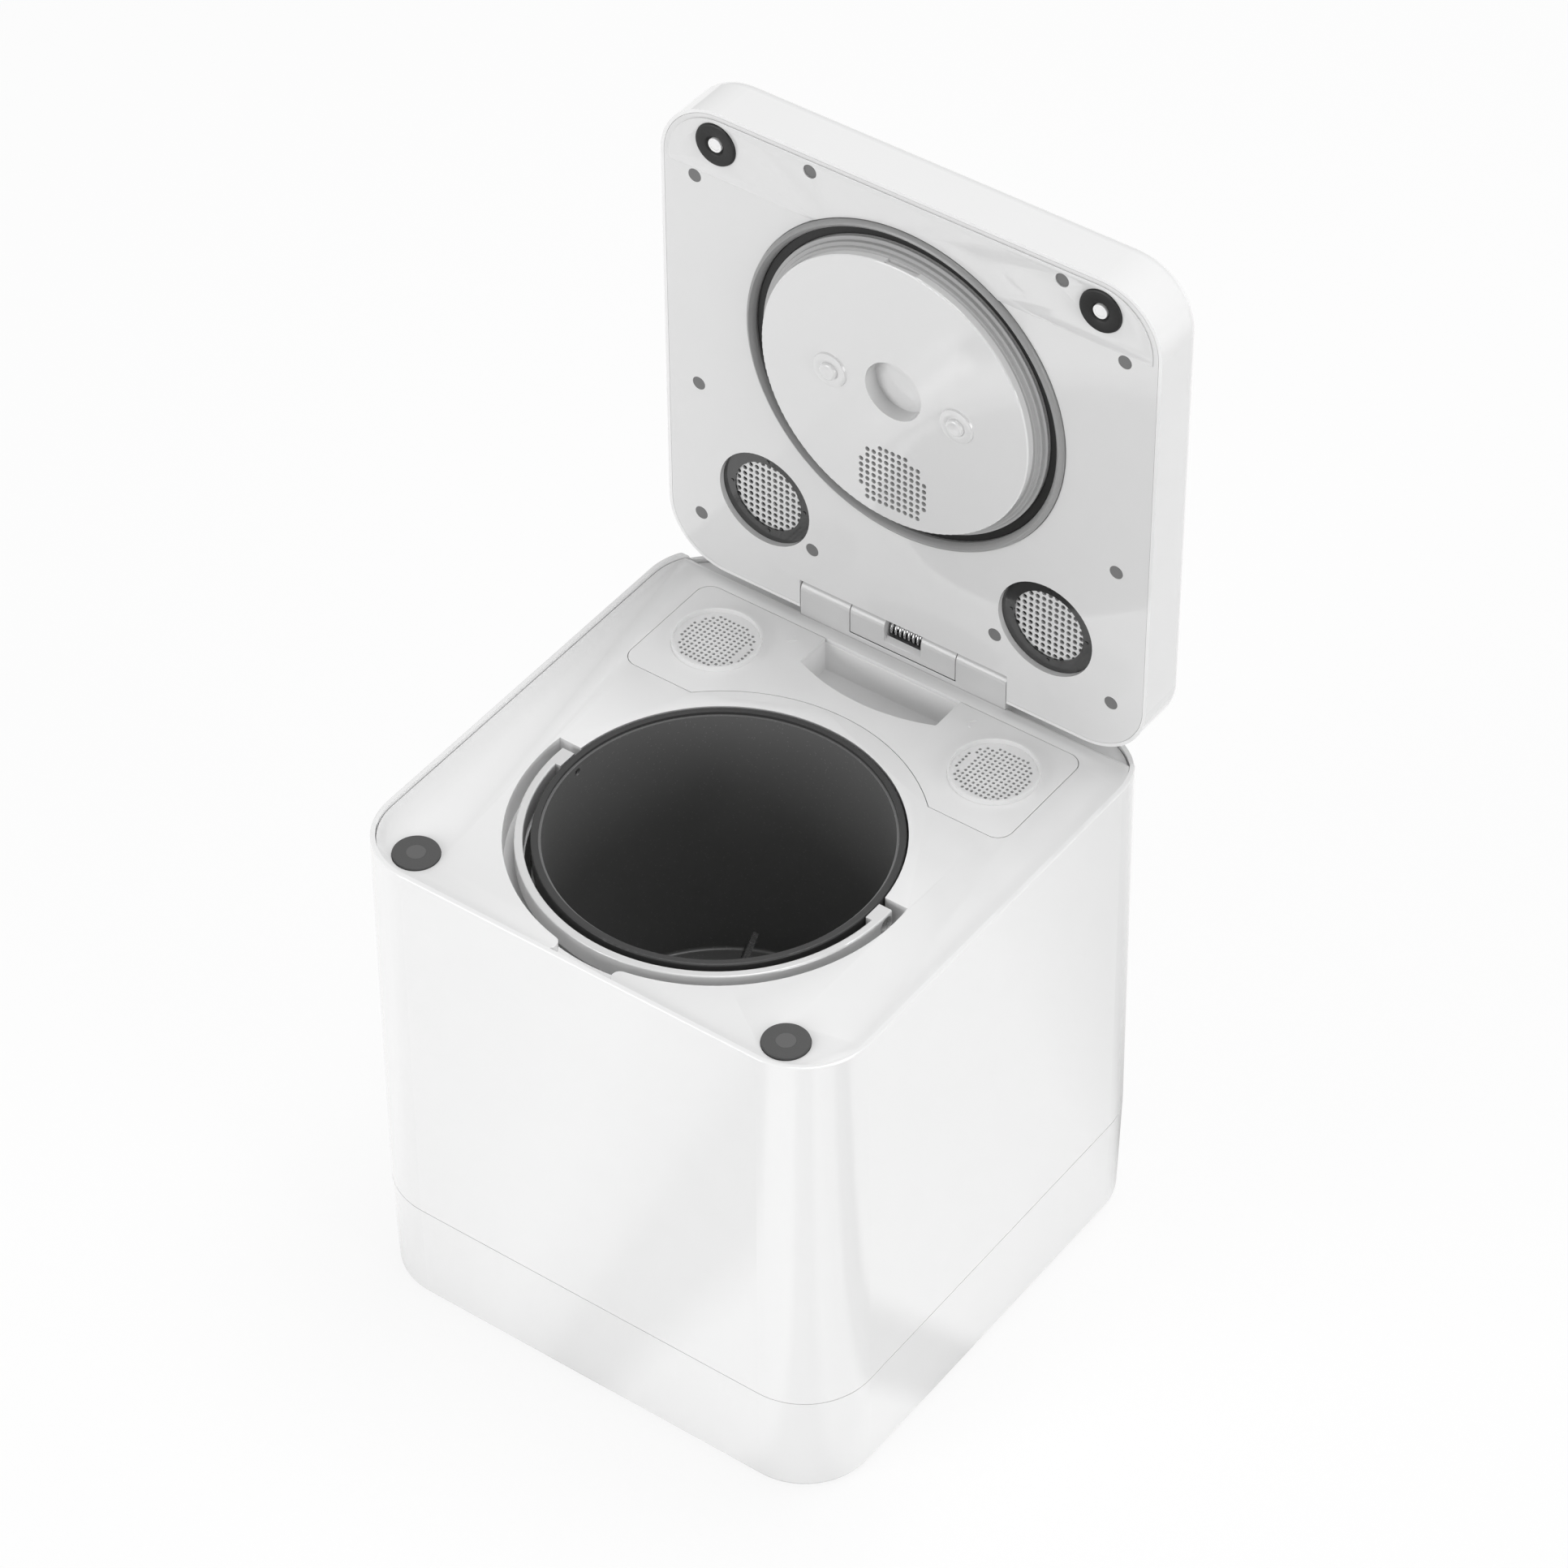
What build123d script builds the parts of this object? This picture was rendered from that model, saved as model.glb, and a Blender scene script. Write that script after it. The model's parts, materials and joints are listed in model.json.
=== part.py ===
from build123d import *
import math
import os

# Electric kitchen composter. Millimetres, +Z up. The sleeve's footprint is worked in a frame whose
# origin is the middle of the footprint at the floor, front towards -Y. When the pieces are written
# they move along Y by ORIGIN_Y, so that the origin is the middle of the whole part, lid open.
# The depth and the height follow from what stands in the body; the width is set by itself.

# ---------------------------------------------------------------- driving sizes: sleeve and base
BODY_W = 280.0            # sleeve width at the rim
BODY_CORNER_R = 37.2
FRONT_MARGIN = 9.8        # rim's front face to the bail's groove
BACK_MARGIN = 27.6        # filter cover's back edge to the rim's back face
SEAM_Z = 62.3             # joint between the sleeve and the base band
SEAM_GAP = 0.4
SEAM_FLARE = 1.4          # the sides lean out by this much from the rim to the seam
SHELL_T = 2.5
RIM_ROUND = 0.8
RAMP_INSET = 20.0         # nearer the back than this the rim and the deck sink by RAMP_DROP
RAMP_RUN = 6.6
RAMP_DROP = 5.0
LEDGE_W = 3.0             # ledge inside the sleeve that carries the deck
LEDGE_T = 2.0
FOOT_PROUD = 1.5
FOOT_T = 3.0
FOOT_R = 11.0
FOOT_CHAMFER = 0.5
FOOT_INSET = 34.0         # foot centre from the outline
TRAY_FLOOR_T = 4.0
TRAY_EDGE_R = 2.0
TONGUE_H = 8.0            # tongue of the base that reaches up into the sleeve
TONGUE_T = 2.0
PLATE_T = 2.0             # steel chassis plate
PLATE_INSET = 14.0
FIT = 0.3                 # clearance between separate mouldings
PIN_FIT = 0.05            # radial clearance of a pin or shaft in its bore
SCREW_R = 2.0
SCREW_HEAD_R = 4.0
SCREW_BITE = 5.0          # thread length above what the screw clamps
SOFT_EDGE = 0.4           # chamfer of small moulded rims

# ---------------------------------------------------------------- deck and what sits in it
DECK_DROP = 2.2           # deck top below the rim
DECK_T = 2.5
DECK_GAP = 0.4
WALL_T = 2.0              # thin moulded walls
HOLE_GAP = 0.8            # bucket's ring to the deck's hole behind it
GROOVE_GAP = 5.6          # bail to the groove's outer wall
GROOVE_END = 9.7          # groove's end walls, behind the bucket axis
GROOVE_DEPTH = 18.0       # below the rim
GROOVE_FLOOR_GAP = 0.2    # groove's floor reaches under the bail by this much more
SCOOP_W = 32.6            # finger scoop in front of the bail
SCOOP_DEPTH = 5.0
SCOOP_CORNER_R = 5.0
SCOOP_FLARE = 3.0
PAD_SIDE = 32.8           # strike pads from the sleeve's side and front
PAD_FRONT = 18.0
PAD_R = 11.56
PAD_CORE_R = 4.8
PAD_BELOW_RIM = 0.8
PAD_SUNK = 1.2

# ---------------------------------------------------------------- filter cover, cartridges, air path
COVER_LAND = 11.15        # deck's hole to the cover's arc
COVER_D = 69.6
COVER_SIDE = 30.2         # grille's middle to the cover's side edge
COVER_CORNER_R = 8.0
POCKET_W = 80.2           # finger pocket behind the cover's edge
POCKET_D = 29.0
POCKET_LAND = 12.35       # cover's arc to the pocket, on the middle line
POCKET_BOW = 8.2          # bow of the pocket's front
POCKET_DEPTH = 20.0
GRILLE_SIDE = 41.9        # pocket's side to the grille's middle
GRILLE_BACK = 32.6        # cover's back edge to the grille's middle
GRILLE_R = 22.4
GRILLE_WALL = 1.0
GRILLE_H = 2.9
GRILLE_PITCH = 2.67
GRILLE_HOLE_R = 0.8
GRILLE_REACH = 6.94       # holes reach this many pitches
GRILLE_SHIFT = 0.45       # the field of holes is off centre by this many pitches
GRILLE_SHIFT_X = 1.0
GRILLE_SHIFT_Y = -0.3
GRILLE_SHUT = (-6, 2)     # column with no holes in its middle rows, and how many rows each way
CHEVRON_SIDE = 9.9        # raised lift marks beside the pocket
CHEVRON_BACK = 9.3
CHEVRON_SIZE = 3.0
CHEVRON_PROUD = 0.3
CANISTER_R = 27.5
CANISTER_H = 45.0
CANISTER_FIT = 1.0
BOX_FLANGE = 4.0
DUCT_H = 26.0
DUCT_D = 43.5
DUCT_AHEAD = 12.2         # duct's front in front of the grille's middle
DUCT_SIDE = 28.0          # duct's side beyond the grille's middle
DUCT_HOLE_R = 12.0
FAN_DROP = 37.3           # fan axis below the duct
FAN_HOUSING_W = 62.0
FAN_HOUSING_D = 56.9      # housing's front from the sleeve's back face
FAN_R = 24.0
FAN_BLADES = 7
BLADE_T = 1.5
BLADE_SKEW = 35
VENT_W = 62.0
VENT_SLOTS = 8

# ---------------------------------------------------------------- bucket, bail and stirrer
BUCKET_R = 86.0           # outside
BUCKET_T = 2.0
BUCKET_H = 158.0
RING_INSIDE = 0.7         # dark rim ring: bore inside the bucket's outside
RING_PROUD = 2.8
RING_H = 12.0
RING_LIP = 1.5
BAIL_GAP = 3.7            # ring to the bail
BAIL_W = 4.2
BAIL_H = 12.0
BAIL_EYE_GAP = 0.5        # ring to the bail's eyes
BAIL_EYE_BACK = 4.6
BAIL_EYE_FRONT = 6.2
BAIL_PIVOT_DROP = 8.1     # pivot below the rim
BAIL_PIN_R = 2.0
BAIL_PIN_BITE = 0.6       # pin's tip short of the bucket's inside
BAIL_HEAD_R = 4.5
BAIL_ROUND = 0.8
BUSH_R = 12.0
BUSH_H = 5.0
STIR_SHAFT_R = 6.0
STIR_HUB_R = 14.0
STIR_POST_R = 8.0
STIR_POST_H = 52.0
ARM_GAP = 7.0             # long arms to the bucket's wall
ARM_T = 3.0
ARM_SKEW = 25
ARMS = ((20, 1.0, 0.15), (200, 1.0, 0.15), (110, 0.7, 0.6))   # direction, share of reach, of post
COUPLING_R = 14.0
COUPLING_H = 18.0
DOG_FLATS = 14.0          # hexagon dog across its flats
DOG_FIT = 0.2
DOG_H = 20.0

# ---------------------------------------------------------------- heating well
WELL_FIT = 1.6            # bucket to the well
WELL_T = 1.6
WELL_FLANGE_W = 7.8
WELL_HOLE_R = 18.0
COLLAR_T = 7.0
COLLAR_GAP = 1.8          # well's bore to the collar's
POST_GAP = 5.0            # well's flange to the middle of its posts, on the diagonals
POST_R = 4.0
EAR_R = 7.0
INSULATION_T = 6.5
HEATER_T = 6.2            # plate that the bucket stands on
SENSOR_R = 5.0
SENSOR_H = 8.0

# ---------------------------------------------------------------- gearbox and motor
MODULE = 1.5
TOOTH_ROOT = 1.2          # in modules below and above the pitch circle
TOOTH_TIP = 0.85
ROOT_SHARE = 0.27         # half widths of a tooth in pitches
TIP_SHARE = 0.1
PINION_TEETH = 12
IDLER_BIG_TEETH = 36
IDLER_SMALL_TEETH = 12
OUTPUT_TEETH = 44
GEARBOX_H = 26.0
GEARBOX_COVER_T = 3.0
GEAR_LOW_H = 8.0
GEAR_HIGH_H = 10.0
GEAR_LIFT = 1.5           # lowest gear above the gearbox floor
COUPLING_ROOM = 17.0      # gearbox to the coupling
OUTPUT_SHAFT_R = 5.0
IDLER_PIN_R = 3.0
MOTOR_SHAFT_R = 2.5
MOTOR_R = 18.0
MOTOR_H = 54.0
MOTOR_LIFT = 4.5          # motor above the chassis plate
BEARING_R = 11.0
BEARING_H = 5.0
LEG_R = 5.0

# ---------------------------------------------------------------- electrics in the base
BOARD_SIDE = 38.0         # board's middle from the sleeve's side
BOARD_W = 45.0
BOARD_L = 128.0
BOARD_T = 1.6
BOARD_LIFT = 8.0
INLET_SIDE = 55.0         # inlet's middle from the sleeve's side
INLET_Z = 32.0
INLET_W = 28.0
INLET_H = 21.0
INLET_DEPTH = 23.0
SOCKET_W = 24.4
SOCKET_H = 16.8
SOCKET_DEPTH = 16.0
PRONGS = ((-7.0, -2.0), (0.0, 2.0), (7.0, -2.0))
PRONG_W = 2.0
PRONG_H = 4.0
PRONG_L = 9.6

# ---------------------------------------------------------------- hinge
HINGE_INSET = 10.8        # hinge axis from the rim's back face
HINGE_RISE = 10.0         # hinge axis above the rim
HINGE_SET = 8.7           # axis to the lid's inner plane, and to the tops of the blocks
BRACKET_W = 121.4
KNUCKLE_W = 62.0
KNUCKLE_GAP = 0.5
KNUCKLE_REACH = 12.3
CRADLE_R = 12.7
BLOCK_ROUND = 6.0
HINGE_PIN_R = 2.5
HINGE_PIN_L = 116.0
WINDOW_W = 21.6
WINDOW_SILL = 2.4         # window's lower lip below the axis
CAVITY = 6.8              # half height and depth of the spring's cavity
NECK_W = 56.0
NECK_T = 8.2
NECK_LOW = 6.0
NECK_HIGH = 25.0
SPRING_R = 4.6
SPRING_WIRE_R = 0.8
SPRING_PITCH = 2.6
SPRING_TURNS = 7.5

# ---------------------------------------------------------------- lid
LID_OVER = 0.2            # lid wider than the sleeve
LID_FRONT_INSET = 0.6     # lid's front edge behind the sleeve's
LID_T = 32.2
LID_BACK_REACH = 8.0      # the lid's edge behind the hinge axis
LID_CORNER_R = 34.0
LID_ROUND = 8.0
LID_WALL = 1.8
PANEL_T = 2.5
PANEL_GAP = 0.15
NOTCH_GAP = 0.5           # hinge bracket to the sides of the lid's notch
NOTCH_V = 9.3             # panel's edge in front of the hinge axis
NOTCH_H = 18.6
NOTCH_R = 10.6            # round clearance about the hinge axis
DISC_GAP = 10.0           # bucket's outside to the plug's disc
DISC_PROUD = 9.4
DISC_WALL = 2.0
STEP_W = 5.2              # step, gasket, lip and hidden flange round the disc
SEAL_W = 4.6
SEAL_ROUND = 0.5
LIP_W = 4.6
LIP_CREST = 3.0
LIP_EDGE = 1.0
PLUG_FLANGE_W = 3.6
DIMPLE_SHIFT = -2.8       # blind recess and knobs from the bucket axis
DIMPLE_R = 16.0
DIMPLE_DEPTH = 8.6
KNOB_X = 36.05
KNOB_SHIFT = 0.5
KNOB_BOSS_R = 9.2
KNOB_BOSS_H = 1.0
KNOB_R = 4.75
KNOB_H = 3.0
MESH_PITCH = 3.62
MESH_HOLE_R = 1.3
PATCH_ROWS = (5, 9, 9, 11, 11, 11, 11, 11, 9, 9)   # from the disc's middle outwards
PATCH_EDGE = 8.8          # outermost row of holes from the disc's edge
SLOT_SIDES = (-6.0, 12.0)   # notch in the disc's front side
SLOT_SINK = 0.5           # notch above the lid's inner plane
SLOT_H = 3.8
PORT_SHIFT_X = 0.1        # ports from the grilles below them
PORT_SHIFT_Y = -0.6
PORT_R = 26.8
PORT_SUNK = 3.0
PORT_LAND = 7.1           # width of the dark ring at the bottom of a port
PORT_RING_T = 1.0
PORT_MESH_T = 1.0
NUB_R = 1.0
NUB_H = 0.4
NUB_INSET = 1.8
BAND_FRONT_INSET = 4.0
BAND_SIDE_INSET = 4.8
BAND_BEHIND = 19.4        # band's straight edge behind the strike pads
BAND_PROUD = 0.8
BAND_CORNER_R = 30.0
BUMPER_R = 11.3
BUMPER_CORE_R = 3.8
BUMPER_PROUD = 1.9
BUMPER_SUNK = 1.5
PLUG_R = 3.5
PLUG_T = 1.5
PLUG_SIDE = 19.6          # outer screw plugs from the lid's sides
PLUG_MIDDLE_X = 53.6
PLUG_ODD_SIDE = 54.2
PLUG_BACK = (34.0, 42.9, 115.4)   # rows of screw plugs from the sleeve's back face
PLUG_FRONT = (10.4, 41.9)         # and from its front face
BUTTON_FRONT = 32.9
BUTTON_R = 12.0
BUTTON_PROUD = 1.0
BUTTON_H = 8.0
BUTTON_TRAVEL = 1.5

# ---------------------------------------------------------------- rings about the bucket axis
BIG = 400.0
RING_IN_R = BUCKET_R - RING_INSIDE
RING_OUT_R = BUCKET_R + RING_PROUD
BAIL_EYE_IN_R = RING_OUT_R + BAIL_EYE_GAP
BAIL_IN_R = RING_OUT_R + BAIL_GAP
BAIL_OUT_R = BAIL_IN_R + BAIL_W
GROOVE_FLOOR_R = BAIL_IN_R - GROOVE_FLOOR_GAP
GROOVE_R = BAIL_OUT_R + GROOVE_GAP
DECK_HOLE_R = RING_OUT_R + HOLE_GAP
COVER_ARC_R = DECK_HOLE_R + COVER_LAND
ARM_REACH = BUCKET_R - BUCKET_T - ARM_GAP
WELL_R = BUCKET_R + WELL_FIT
COLLAR_IN_R = WELL_R + COLLAR_GAP
WELL_FLANGE_R = WELL_R + WELL_T + WELL_FLANGE_W
POST_REACH = WELL_FLANGE_R + POST_GAP
DISC_R = BUCKET_R - DISC_GAP
STEP_R = DISC_R + STEP_W
SEAL_R = STEP_R + SEAL_W
LIP_R = SEAL_R + LIP_W
PLUG_FLANGE_R = LIP_R + PLUG_FLANGE_W
PORT_RING_IN_R = PORT_R - PORT_LAND

# ---------------------------------------------------------------- places from front to back
BODY_D = FRONT_MARGIN + GROOVE_R + COVER_ARC_R + POCKET_LAND + POCKET_D + BACK_MARGIN
FRONT_Y = -BODY_D / 2
BACK_Y = BODY_D / 2
BUCKET_Y = FRONT_Y + FRONT_MARGIN + GROOVE_R
PAD_Y = FRONT_Y + PAD_FRONT
BUTTON_Y = FRONT_Y + BUTTON_FRONT
BAND_EDGE_Y = PAD_Y + BAND_BEHIND
COVER_BACK_Y = BACK_Y - BACK_MARGIN
COVER_FRONT_Y = COVER_BACK_Y - COVER_D
POCKET_FRONT_Y = COVER_BACK_Y - POCKET_D
POCKET_SIDE_Y = POCKET_FRONT_Y + POCKET_BOW
GRILLE_Y = COVER_BACK_Y - GRILLE_BACK
CHEVRON_Y = COVER_BACK_Y - CHEVRON_BACK
PORT_Y = GRILLE_Y + PORT_SHIFT_Y
DUCT_FRONT_Y = GRILLE_Y - DUCT_AHEAD
DUCT_BACK_Y = DUCT_FRONT_Y + DUCT_D
FAN_FRONT_Y = BACK_Y - FAN_HOUSING_D
DIMPLE_Y = BUCKET_Y + DIMPLE_SHIFT
KNOB_Y = BUCKET_Y + KNOB_SHIFT
RAMP_Y = BACK_Y - RAMP_INSET
HINGE_Y = BACK_Y - HINGE_INSET
PANEL_PLANE_Y = HINGE_Y - HINGE_SET
BRACKET_BACK_Y = BACK_Y - SHELL_T - FIT
LID_D = HINGE_Y + LID_BACK_REACH - FRONT_Y - LID_FRONT_INSET
LID_Y = HINGE_Y + LID_BACK_REACH - LID_D / 2
ORIGIN_Y = (PANEL_PLANE_Y + LID_T - BACK_Y - SEAM_FLARE) / 2

# ---------------------------------------------------------------- places across
LID_W = BODY_W + LID_OVER
NOTCH_W = BRACKET_W + 2 * NOTCH_GAP
PAD_X = BODY_W / 2 - PAD_SIDE
GRILLE_X = POCKET_W / 2 + GRILLE_SIDE
COVER_W = 2 * (GRILLE_X + COVER_SIDE)
CHEVRON_X = POCKET_W / 2 + CHEVRON_SIDE
PORT_X = GRILLE_X + PORT_SHIFT_X
DUCT_W = 2 * (GRILLE_X + DUCT_SIDE)
BOARD_X = BOARD_SIDE - BODY_W / 2
INLET_X = BODY_W / 2 - INLET_SIDE
IDLER_X = MODULE * (OUTPUT_TEETH + IDLER_SMALL_TEETH) / 2
MOTOR_X = IDLER_X + MODULE * (PINION_TEETH + IDLER_BIG_TEETH) / 2
PLUG_X = LID_W / 2 - PLUG_SIDE
PLUGS = ((-PLUG_X, BACK_Y - PLUG_BACK[0]), (PLUG_X, BACK_Y - PLUG_BACK[0]),
         (-PLUG_MIDDLE_X, BACK_Y - PLUG_BACK[1]), (PLUG_MIDDLE_X, BACK_Y - PLUG_BACK[1]),
         (-PLUG_X, BACK_Y - PLUG_BACK[2]), (PLUG_X, BACK_Y - PLUG_BACK[2]),
         (-PLUG_X, FRONT_Y + PLUG_FRONT[1]), (PLUG_X, FRONT_Y + PLUG_FRONT[1]),
         (-PLUG_MIDDLE_X, FRONT_Y + PLUG_FRONT[0]),
         (LID_W / 2 - PLUG_ODD_SIDE, FRONT_Y + PLUG_FRONT[0]))

# ---------------------------------------------------------------- levels from the floor up
TRAY_Z = FOOT_PROUD + TRAY_FLOOR_T
CHASSIS_Z = TRAY_Z + PLATE_T
GEARBOX_Z = CHASSIS_Z + MOTOR_LIFT + MOTOR_H
GEAR_LOW_Z = GEARBOX_Z + DECK_T + GEAR_LIFT
GEAR_HIGH_Z = GEAR_LOW_Z + GEAR_LOW_H + GEAR_LIFT
COUPLING_Z = GEARBOX_Z + GEARBOX_H + COUPLING_ROOM
BUCKET_BOTTOM_Z = COUPLING_Z + COUPLING_H + FIT
BUCKET_FLOOR_Z = BUCKET_BOTTOM_Z + BUCKET_T
DECK_Z = BUCKET_BOTTOM_Z + BUCKET_H + RING_LIP
RIM_Z = DECK_Z + DECK_DROP
GROOVE_Z = RIM_Z - GROOVE_DEPTH
COLLAR_Z = GROOVE_Z - WALL_T - COLLAR_T
PIVOT_Z = RIM_Z - BAIL_PIVOT_DROP
HINGE_Z = RIM_Z + HINGE_RISE
LID_Z = HINGE_Z - HINGE_SET
COVER_Z = DECK_Z - DECK_T
BOX_WELL_R = CANISTER_R + CANISTER_FIT
BOX_FLOOR_Z = COVER_Z - CANISTER_H - 2 * WALL_T
DUCT_Z = BOX_FLOOR_Z - DUCT_H
FAN_Z = DUCT_Z - FAN_DROP


# ---------------------------------------------------------------- plain shapes used all over
def block(x, y, z):
    """Box between two values on each axis."""
    size = Box(x[1] - x[0], y[1] - y[0], z[1] - z[0])
    return Pos((x[0] + x[1]) / 2, (y[0] + y[1]) / 2, (z[0] + z[1]) / 2) * size


def rod(radius, low, high, x=0.0, y=0.0):
    """Upright cylinder between two heights."""
    return Pos(x, y, (low + high) / 2) * Cylinder(radius, high - low)


def tube(inner, outer, low, high, x=0.0, y=0.0):
    """Upright ring between two heights."""
    return rod(outer, low, high, x, y) - rod(inner, low - 1, high + 1, x, y)


def rod_x(radius, left, right, y, z):
    """Cylinder along X."""
    return Pos((left + right) / 2, y, z) * Rot(0, 90, 0) * Cylinder(radius, right - left)


def rod_y(radius, front, back, x, z):
    """Cylinder along Y."""
    return Pos(x, (front + back) / 2, z) * Rot(90, 0, 0) * Cylinder(radius, back - front)


def pillow(width, depth, radius, low, high, y=0.0):
    """Upright block with round vertical corners."""
    return Pos(0, y, low) * extrude(RectangleRounded(width, depth, radius), high - low)


def tapered(inset, low, high, low_grow, high_grow):
    """Sleeve-shaped block that is wider by low_grow and high_grow a side than the rim's outline."""
    rings = []
    for z, grow in ((low, low_grow), (high, high_grow)):
        edge = grow - inset
        ring = RectangleRounded(BODY_W + 2 * edge, BODY_D + 2 * edge, BODY_CORNER_R + edge)
        rings.append(Pos(0, 0, z) * ring)
    return loft(rings, ruled=True)


def ramp_slab(level, bottom):
    """Everything between a height and the ramp line that sinks towards the back."""
    run = Line((-BIG, level), (RAMP_Y, level))
    crest = TangentArc(run @ 1, (RAMP_Y + RAMP_RUN / 2, level - RAMP_DROP / 2), tangent=(1, 0))
    trough = TangentArc(crest @ 1, (RAMP_Y + RAMP_RUN, level - RAMP_DROP), tangent=crest % 1)
    back = Line(trough @ 1, (BIG, level - RAMP_DROP))
    under = Polyline(back @ 1, (BIG, bottom), (-BIG, bottom), run @ 0)
    return extrude(Plane.YZ * make_face([run, crest, trough, back, under]), BIG, both=True)


def deck_band(top, thickness):
    """A sheet of even thickness that follows the deck and its ramp."""
    return ramp_slab(top, -BIG) - ramp_slab(top - thickness, -2 * BIG)


def extrude_x(profile, left, right):
    """A profile drawn in Y and Z, run along X."""
    return Pos(left, 0, 0) * extrude(Plane.YZ * profile, right - left)


def mirrored(shape):
    """A piece and its copy on the other side."""
    return shape + mirror(shape, Plane.YZ)


def perforated(outline, centres, radius, low, thickness):
    """Plate of an outline, with round holes at the centres."""
    rims = [Wire.make_circle(radius, Plane((x, y, 0))) for x, y in centres]
    face = Face(outline.outer_wire(), list(outline.inner_wires()) + rims)
    return Pos(0, 0, low) * extrude(face, thickness)


def lifted(pieces):
    """Lid pieces are made with the lid closed, and swing up about the hinge to the open lid."""
    hinge = Axis((0, HINGE_Y, HINGE_Z), (1, 0, 0))
    return {name: shape.rotate(hinge, -90) for name, shape in pieces.items()}


# ---------------------------------------------------------------- sleeve, base and deck
def outer_shell():
    seam = SEAM_Z + SEAM_GAP / 2
    skin = tapered(0, seam, RIM_Z, SEAM_FLARE, 0) & ramp_slab(RIM_Z, 0)
    tops = skin.edges().filter_by(lambda e: (e @ 0.5).Z > RIM_Z - RAMP_DROP - 0.1)
    inner = BODY_D / 2 - 1
    rim = tops.filter_by(lambda e: abs((e @ 0.5).X) > 1 or abs((e @ 0.5).Y) > inner)
    skin = fillet(rim.filter_by(lambda e: (e @ 0.5).Z > SEAM_Z + 9), RIM_ROUND)
    shell = skin - tapered(SHELL_T, seam - 1, RIM_Z + 1, SEAM_FLARE, 0)
    ledge = tapered(SHELL_T - 0.5, SEAM_Z, RIM_Z, SEAM_FLARE, 0)
    ledge -= tapered(SHELL_T + LEDGE_W, SEAM_Z - 1, RIM_Z + 1, SEAM_FLARE, 0)
    ledge &= deck_band(DECK_Z - DECK_T, LEDGE_T)
    scoop = SCOOP_W / 2 + SCOOP_FLARE + WALL_T + FIT
    ledge -= block((-scoop, scoop), (-BIG, 0), (0, RIM_Z))
    half = BRACKET_W / 2 + WALL_T + FIT
    ledge -= block((-half, half), (0, BIG), (0, RIM_Z))
    vent = VENT_W / 2
    opening = block((-vent, vent), (0, BIG), (FAN_Z - vent, FAN_Z + vent))
    return shell + ledge - opening


def base_tray():
    seam = SEAM_Z - SEAM_GAP / 2
    tray = tapered(0, FOOT_PROUD, seam, 0, SEAM_FLARE)
    tray = fillet(tray.faces().sort_by(Axis.Z)[0].edges(), TRAY_EDGE_R)
    tray -= tapered(SHELL_T, TRAY_Z, seam + 1, 0, SEAM_FLARE)
    lip_inset = SHELL_T + FIT
    tongue = tapered(lip_inset, seam - TONGUE_H, seam + TONGUE_H, SEAM_FLARE, SEAM_FLARE)
    tongue -= tapered(lip_inset + TONGUE_T, seam - TONGUE_H - 1, seam + TONGUE_H + 1,
                      SEAM_FLARE, SEAM_FLARE)
    brace = tapered(SHELL_T / 2, seam - TONGUE_H, seam, SEAM_FLARE, SEAM_FLARE)
    brace -= tapered(lip_inset + 1, seam - TONGUE_H - 1, seam + 1, SEAM_FLARE, SEAM_FLARE)
    tray += tongue + brace
    for x, y in foot_places():
        tray -= rod(FOOT_R + FIT / 2, 0, FOOT_T, x, y)
    wide = INLET_W / 2 + FIT / 2
    tall = INLET_H / 2 + FIT / 2
    return tray - block((INLET_X - wide, INLET_X + wide), (0, BIG), (INLET_Z - tall, INLET_Z + tall))


def foot_places():
    """Centres of the four feet."""
    x = BODY_W / 2 - FOOT_INSET
    y = BODY_D / 2 - FOOT_INSET
    return [(-x, -y), (x, -y), (-x, y), (x, y)]


def rubber_feet():
    return Compound([chamfer(rod(FOOT_R, 0, FOOT_T, x, y).edges().sort_by(Axis.Z)[0], FOOT_CHAMFER)
                     for x, y in foot_places()])


def chassis_plate():
    plate = pillow(BODY_W - 2 * PLATE_INSET, BODY_D - 2 * PLATE_INSET,
                   BODY_CORNER_R - PLATE_INSET, TRAY_Z, CHASSIS_Z)
    for x, y in foot_places():
        plate -= rod(SCREW_R + FIT, 0, RIM_Z, x, y)
    return plate


def case_screws():
    """Four chassis screws, and four that hold the hinge bracket from below the deck."""
    screws = []
    for x, y in foot_places():
        head = rod(SCREW_HEAD_R, CHASSIS_Z, CHASSIS_Z + WALL_T, x, y)
        screws.append(head + rod(SCREW_R, TRAY_Z, CHASSIS_Z, x, y))
    floor = DECK_Z - RAMP_DROP - DECK_T
    for x, y in bracket_screw_places():
        shank = rod(SCREW_R, floor, floor + DECK_T + SCREW_BITE, x, y)
        screws.append(rod(SCREW_HEAD_R, floor - WALL_T, floor, x, y) + shank)
    return Compound(screws)


def bracket_screw_places():
    """Screws into the two hinge blocks."""
    block_w = (BRACKET_W - KNUCKLE_W) / 2 - KNUCKLE_GAP
    x = BRACKET_W / 2 - block_w / 2
    y = (PANEL_PLANE_Y + BRACKET_BACK_Y) / 2
    step = block_w / 4
    return [(side * (x + d), y) for side in (-1, 1) for d in (-step, step)]


def pocket_outline(grow=0.0):
    """Finger pocket: straight back and sides, with a bowed front."""
    half = POCKET_W / 2 + grow
    back = COVER_BACK_Y + grow
    side = POCKET_SIDE_Y - grow
    bow = ThreePointArc((-half, side), (0, POCKET_FRONT_Y - grow), (half, side))
    sides = Polyline((half, side), (half, back), (-half, back), (-half, side))
    return make_face([bow, sides])


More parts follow.
